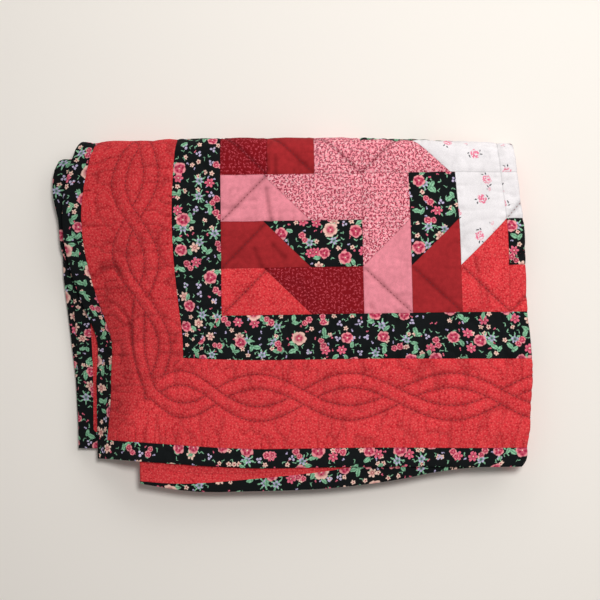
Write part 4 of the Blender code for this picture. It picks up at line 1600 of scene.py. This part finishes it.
class QUILT_OT_add_sheet(bpy.types.Operator):
    """Adds the quilted sheet: the patchwork front, the wadding and the back as one folded cloth."""

    bl_idname = "quilt.add_sheet"
    bl_label = "Quilted sheet"
    bl_options = {"REGISTER", "UNDO"}

    def execute(self, context):
        sizes = context.scene.quilt_sizes
        cloth = sheet_cloth()
        middle_u, middle_v = cloth.face_mean(cloth.u), cloth.face_mean(cloth.v)
        fabric, patch = fabric_at(middle_u, middle_v)
        front = cloth.face_mean(cloth.face) > 0.5
        fabric, patch = np.where(front, fabric, RED_PRINT), np.where(front, patch, BACK_PRINT)
        add_print_map(cloth, patch, turned_at(middle_u, middle_v, patch))
        add_sheet_bake_map(cloth)
        u, v, on_front = cloth.u, cloth.v, cloth.face > 0
        points = place(u, v, cloth.face, THICKNESS / 2, relief(u, v, sizes))
        # How far each point lies from a seam, so that the materials paint shade along the seams
        cloth.add_value("seam_distance", np.where(on_front, seam_distance(u, v), PATCH))
        # How much shade the materials paint on each point of the face
        cloth.add_value("hollow_and_painted_shade", np.where(on_front, painted_shade_of(u, v, points), 0.0))
        made = cloth.finish(points, fabrics(context.scene.quilt_colours), fabric)
        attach(made, "root")
        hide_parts("quilted_sheet")
        return {"FINISHED"}


class QUILT_OT_add_binding(bpy.types.Operator):
    """Adds the binding sewn round the four edges."""

    bl_idname = "quilt.add_binding"
    bl_label = "Binding"
    bl_options = {"REGISTER", "UNDO"}

    def execute(self, context):
        sizes = context.scene.quilt_sizes
        cloth = binding_cloth()
        u, v = cloth.u, cloth.v
        side, hem = from_edges(u, v)
        off = np.minimum(side, hem)
        half = THICKNESS / 2 * (1 - (1 - BINDING_RIM) * np.clip(1 - off / BINDING_ROLL, 0, 1) ** 2)
        faces = len(cloth.counts)
        add_print_map(cloth, np.full(faces, BINDING_PRINT), np.full(faces, False))
        add_binding_bake_map(cloth)
        # How far each point lies from the binding's seam, so that its material paints shade there
        cloth.add_value("seam_distance", np.abs(off - BINDING))
        # Painted shade on the binding along the side edges
        cloth.add_value("hollow_and_painted_shade", np.where(side < hem, BINDING_SIDE_PAINTED_SHADE, 0.0))
        cloth.add_value("backing", np.where(cloth.face < 0, off - back_binding(u, v), -BINDING))
        outer = smoothstep(1 - off / BINDING)
        ruffle = sizes.ruffle * lattice(u, v, RUFFLE_STEP, RUFFLE_STEP, RUFFLE_SEED) * outer
        points = place(u, v, cloth.face, half, relief(u, v, sizes) + ruffle)
        made = cloth.finish(points, [binding_fabric(context.scene.quilt_colours)], np.zeros(faces))
        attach(made, "root")
        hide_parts("binding")
        return {"FINISHED"}


def cable_stitching():
    """The stitched lines of the cable in the left border and in the border at the hem."""
    lines = []
    runs = np.linspace(CABLE_CENTRE - CABLE_SWING - CABLE_HALF_WIDTH, SECOND_START, CABLE_POINTS)
    for table, upright in ((CABLE_UP, True), (CABLE_ALONG, False)):
        for line, shown in cable_lines(between(table, runs)):
            across = CABLE_CENTRE + line
            shown = shown & (runs > across)
            u, v = (across, runs) if upright else (runs, across)
            for part in np.split(np.arange(len(runs)), np.flatnonzero(np.diff(shown)) + 1):
                if shown[part[0]] and len(part) > SHORTEST_RUN:
                    lines.append((u[part], v[part]))
    return lines


def patch_stitching():
    """The stitched line over the first patch of each strip of the blocks on top."""
    lines = []
    steps = np.linspace(STITCH_INSET, PATCH - STITCH_INSET, PATCH_POINTS)
    across, up = BLOCKS_ON_TOP
    for i in range(across):
        for j in range(up):
            for strip in range(3):
                s, t = steps, strip * PATCH + steps
                if (i + j) % 2 == 1:
                    s, t = BLOCK - t, s
                lines.append((FRAME_WIDTH + i * BLOCK + s, FRAME_WIDTH + j * BLOCK + t))
    return lines


def stitch_ends(sizes):
    """Where on the cloth each stitch that shows comes up and goes down."""
    step = sizes.stitch_length + sizes.stitch_gap
    starts, ends = [], []
    for u, v in cable_stitching() + patch_stitching():
        run = np.concatenate([[0.0], np.cumsum(np.hypot(np.diff(u), np.diff(v)))])
        first = np.arange(0.0, run[-1] - sizes.stitch_length, step)
        for places, target in ((first, starts), (first + sizes.stitch_length, ends)):
            target.append(np.stack([np.interp(places, run, u), np.interp(places, run, v)], axis=-1))
    starts, ends = np.concatenate(starts), np.concatenate(ends)
    shown = (starts[:, 0] < SECOND_START) & (starts[:, 1] < TOP_FOLD + STITCHED_TURN * TOP_RADIUS)
    return starts[shown], ends[shown]


def many_beads(count):
    """A mesh of round beads in a row, made by doubling, with each point's bead and place in it."""
    bm = bmesh.new()
    across, up = BEAD_SEGMENTS
    bmesh.ops.create_uvsphere(bm, u_segments=across, v_segments=up, radius=1.0)
    beads = 1
    while beads < count:
        made = bmesh.ops.duplicate(bm, geom=bm.verts[:] + bm.edges[:] + bm.faces[:])
        copies = [item for item in made["geom"] if isinstance(item, bmesh.types.BMVert)]
        bmesh.ops.translate(bm, verts=copies, vec=(BEAD_STEP * beads, 0.0, 0.0))
        beads *= 2
    spare = [vert for vert in bm.verts if vert.co.x > BEAD_STEP * (count - 0.5)]
    bmesh.ops.delete(bm, geom=spare, context="VERTS")
    own = np.array([vert.co for vert in bm.verts])
    bead = np.rint(own[:, 0] / BEAD_STEP).astype(int)
    own[:, 0] -= BEAD_STEP * bead
    return mesh_of("quilting_thread", bm), bead, own


def unit(ways):
    return ways / np.linalg.norm(ways, axis=-1, keepdims=True)


class QUILT_OT_add_stitches(bpy.types.Operator):
    """Adds the running stitches of the hand quilting on the face of the pack."""

    bl_idname = "quilt.add_stitches"
    bl_label = "Quilting stitches"
    bl_options = {"REGISTER", "UNDO"}

    def execute(self, context):
        sizes = context.scene.quilt_sizes
        starts, ends = stitch_ends(sizes)

        def on_face(points, lift):
            u, v = points[:, 0], points[:, 1]
            return place(u, v, np.ones(len(u)), THICKNESS / 2, relief(u, v, sizes) + lift)

        first, last = on_face(starts, 0.0), on_face(ends, 0.0)
        middles = (starts + ends) / 2
        centre = on_face(middles, sizes.thread / 2)
        ways = unit(last - first)
        sides = unit(np.cross(on_face(middles, FACE_LIFT) - on_face(middles, 0.0), ways))
        outwards = np.cross(ways, sides)
        mesh, bead, own = many_beads(len(starts))
        half = np.linalg.norm(last - first, axis=-1, keepdims=True) / 2
        points = centre[bead] + THREAD_FLATNESS * sizes.thread * own[:, :1] * sides[bead]
        points = points + sizes.thread * own[:, 1:2] * outwards[bead]
        points = points + half[bead] * own[:, 2:] * ways[bead]
        move_points(mesh, points)
        mesh.shade_smooth()
        mesh.materials.append(thread_material(context.scene.quilt_colours))
        made = new_object("quilting_thread", mesh)
        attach(made, "root")
        return {"FINISHED"}


def thread_material(colours):
    """Twisted cotton thread."""
    made, shader = new_material("quilting_thread", Roughness=THREAD_ROUGHNESS)
    tree = made.node_tree
    place_node = tree.nodes.new("ShaderNodeTexCoord")
    twist = tree.nodes.new("ShaderNodeTexNoise")
    twist.inputs["Scale"].default_value = TWISTS_PER_METRE
    mix = tree.nodes.new("ShaderNodeMix")
    mix.data_type = "RGBA"
    mix.inputs[6].default_value = (*colours.thread, 1.0)
    mix.inputs[7].default_value = (*[value * THREAD_SHADE for value in colours.thread], 1.0)
    tree.links.new(place_node.outputs["Object"], twist.inputs["Vector"])
    tree.links.new(twist.outputs["Fac"], mix.inputs[0])
    tree.links.new(mix.outputs[2], shader.inputs["Base Color"])
    return made


def area_light(name, energy, size, location, target):
    """A soft square light that points at a target."""
    data = bpy.data.lights.new(name, "AREA")
    data.energy = energy
    data.size = size
    made = new_object(name, data)
    made.location = location
    made.rotation_euler = (Vector(target) - Vector(location)).to_track_quat("-Z", "Y").to_euler()


def add_camera():
    """A long lens that looks down at the pack, tilted and rolled a little."""
    data = bpy.data.cameras.new("camera")
    data.lens = LENS
    data.sensor_width = SENSOR
    camera = new_object("camera", data)
    view = Vector((0.0, math.sin(CAMERA_TILT), -math.cos(CAMERA_TILT)))
    up = Vector((0.0, math.cos(CAMERA_TILT), math.sin(CAMERA_TILT)))
    right = Vector((1.0, 0.0, 0.0))
    cos_roll, sin_roll = math.cos(CAMERA_ROLL), math.sin(CAMERA_ROLL)
    right, up = right * cos_roll - up * sin_roll, up * cos_roll + right * sin_roll
    turn = Matrix((right, up, -view)).transposed().to_4x4()
    camera.matrix_world = Matrix.Translation(Vector(CAMERA_TARGET) - view * CAMERA_DISTANCE) @ turn
    bpy.context.scene.camera = camera


class QUILT_OT_add_stage(bpy.types.Operator):
    """Adds a plain pale floor, soft lights and the camera above the pack."""

    bl_idname = "quilt.add_stage"
    bl_label = "Stage"
    bl_options = {"REGISTER", "UNDO"}

    def execute(self, context):
        scene = context.scene
        bm = bmesh.new()
        cells = FLOOR_CELLS
        bmesh.ops.create_grid(bm, x_segments=cells, y_segments=cells, size=scene.quilt_sizes.floor)
        floor = new_object("floor", mesh_of("floor", bm))
        finish, shader = new_material("pale_floor", Roughness=FLOOR_ROUGHNESS)
        shader.inputs["Base Color"].default_value = (*scene.quilt_colours.floor, 1.0)
        floor.data.materials.append(finish)
        world = bpy.data.worlds.new("soft_daylight")
        world.use_nodes = True
        background = world.node_tree.nodes["Background"]
        background.inputs["Color"].default_value = DAYLIGHT
        background.inputs["Strength"].default_value = DAYLIGHT_STRENGTH
        scene.world = world
        for light in LIGHTS:
            area_light(*light)
        scene.view_settings.view_transform = "Standard"
        add_camera()
        return {"FINISHED"}


class QUILT_PT_panel(bpy.types.Panel):
    """Lists the quilt's pieces, sizes and colours in the sidebar."""

    bl_idname = "QUILT_PT_panel"
    bl_label = "Folded quilt"
    bl_space_type = "VIEW_3D"
    bl_region_type = "UI"
    bl_category = "Quilt"

    def draw(self, context):
        for operator in OPERATORS:
            self.layout.operator(operator.bl_idname)
        for group in (context.scene.quilt_sizes, context.scene.quilt_colours):
            column = self.layout.column()
            for name in group.__annotations__:
                column.prop(group, name)


OPERATORS = (QUILT_OT_add_stage, QUILT_OT_add_sheet, QUILT_OT_add_binding, QUILT_OT_add_stitches)
CLASSES = (QuiltSizes, QuiltColours, *OPERATORS, QUILT_PT_panel)


def register():
    for cls in CLASSES:
        bpy.utils.register_class(cls)
    bpy.types.Scene.quilt_sizes = PointerProperty(type=QuiltSizes)
    bpy.types.Scene.quilt_colours = PointerProperty(type=QuiltColours)


def unregister():
    del bpy.types.Scene.quilt_colours
    del bpy.types.Scene.quilt_sizes
    for cls in reversed(CLASSES):
        bpy.utils.unregister_class(cls)


def main():
    register()
    bpy.ops.quilt.add_stage()
    bpy.ops.quilt.add_sheet()
    bpy.ops.quilt.add_binding()
    bpy.ops.quilt.add_stitches()


if __name__ == "__main__":
    main()
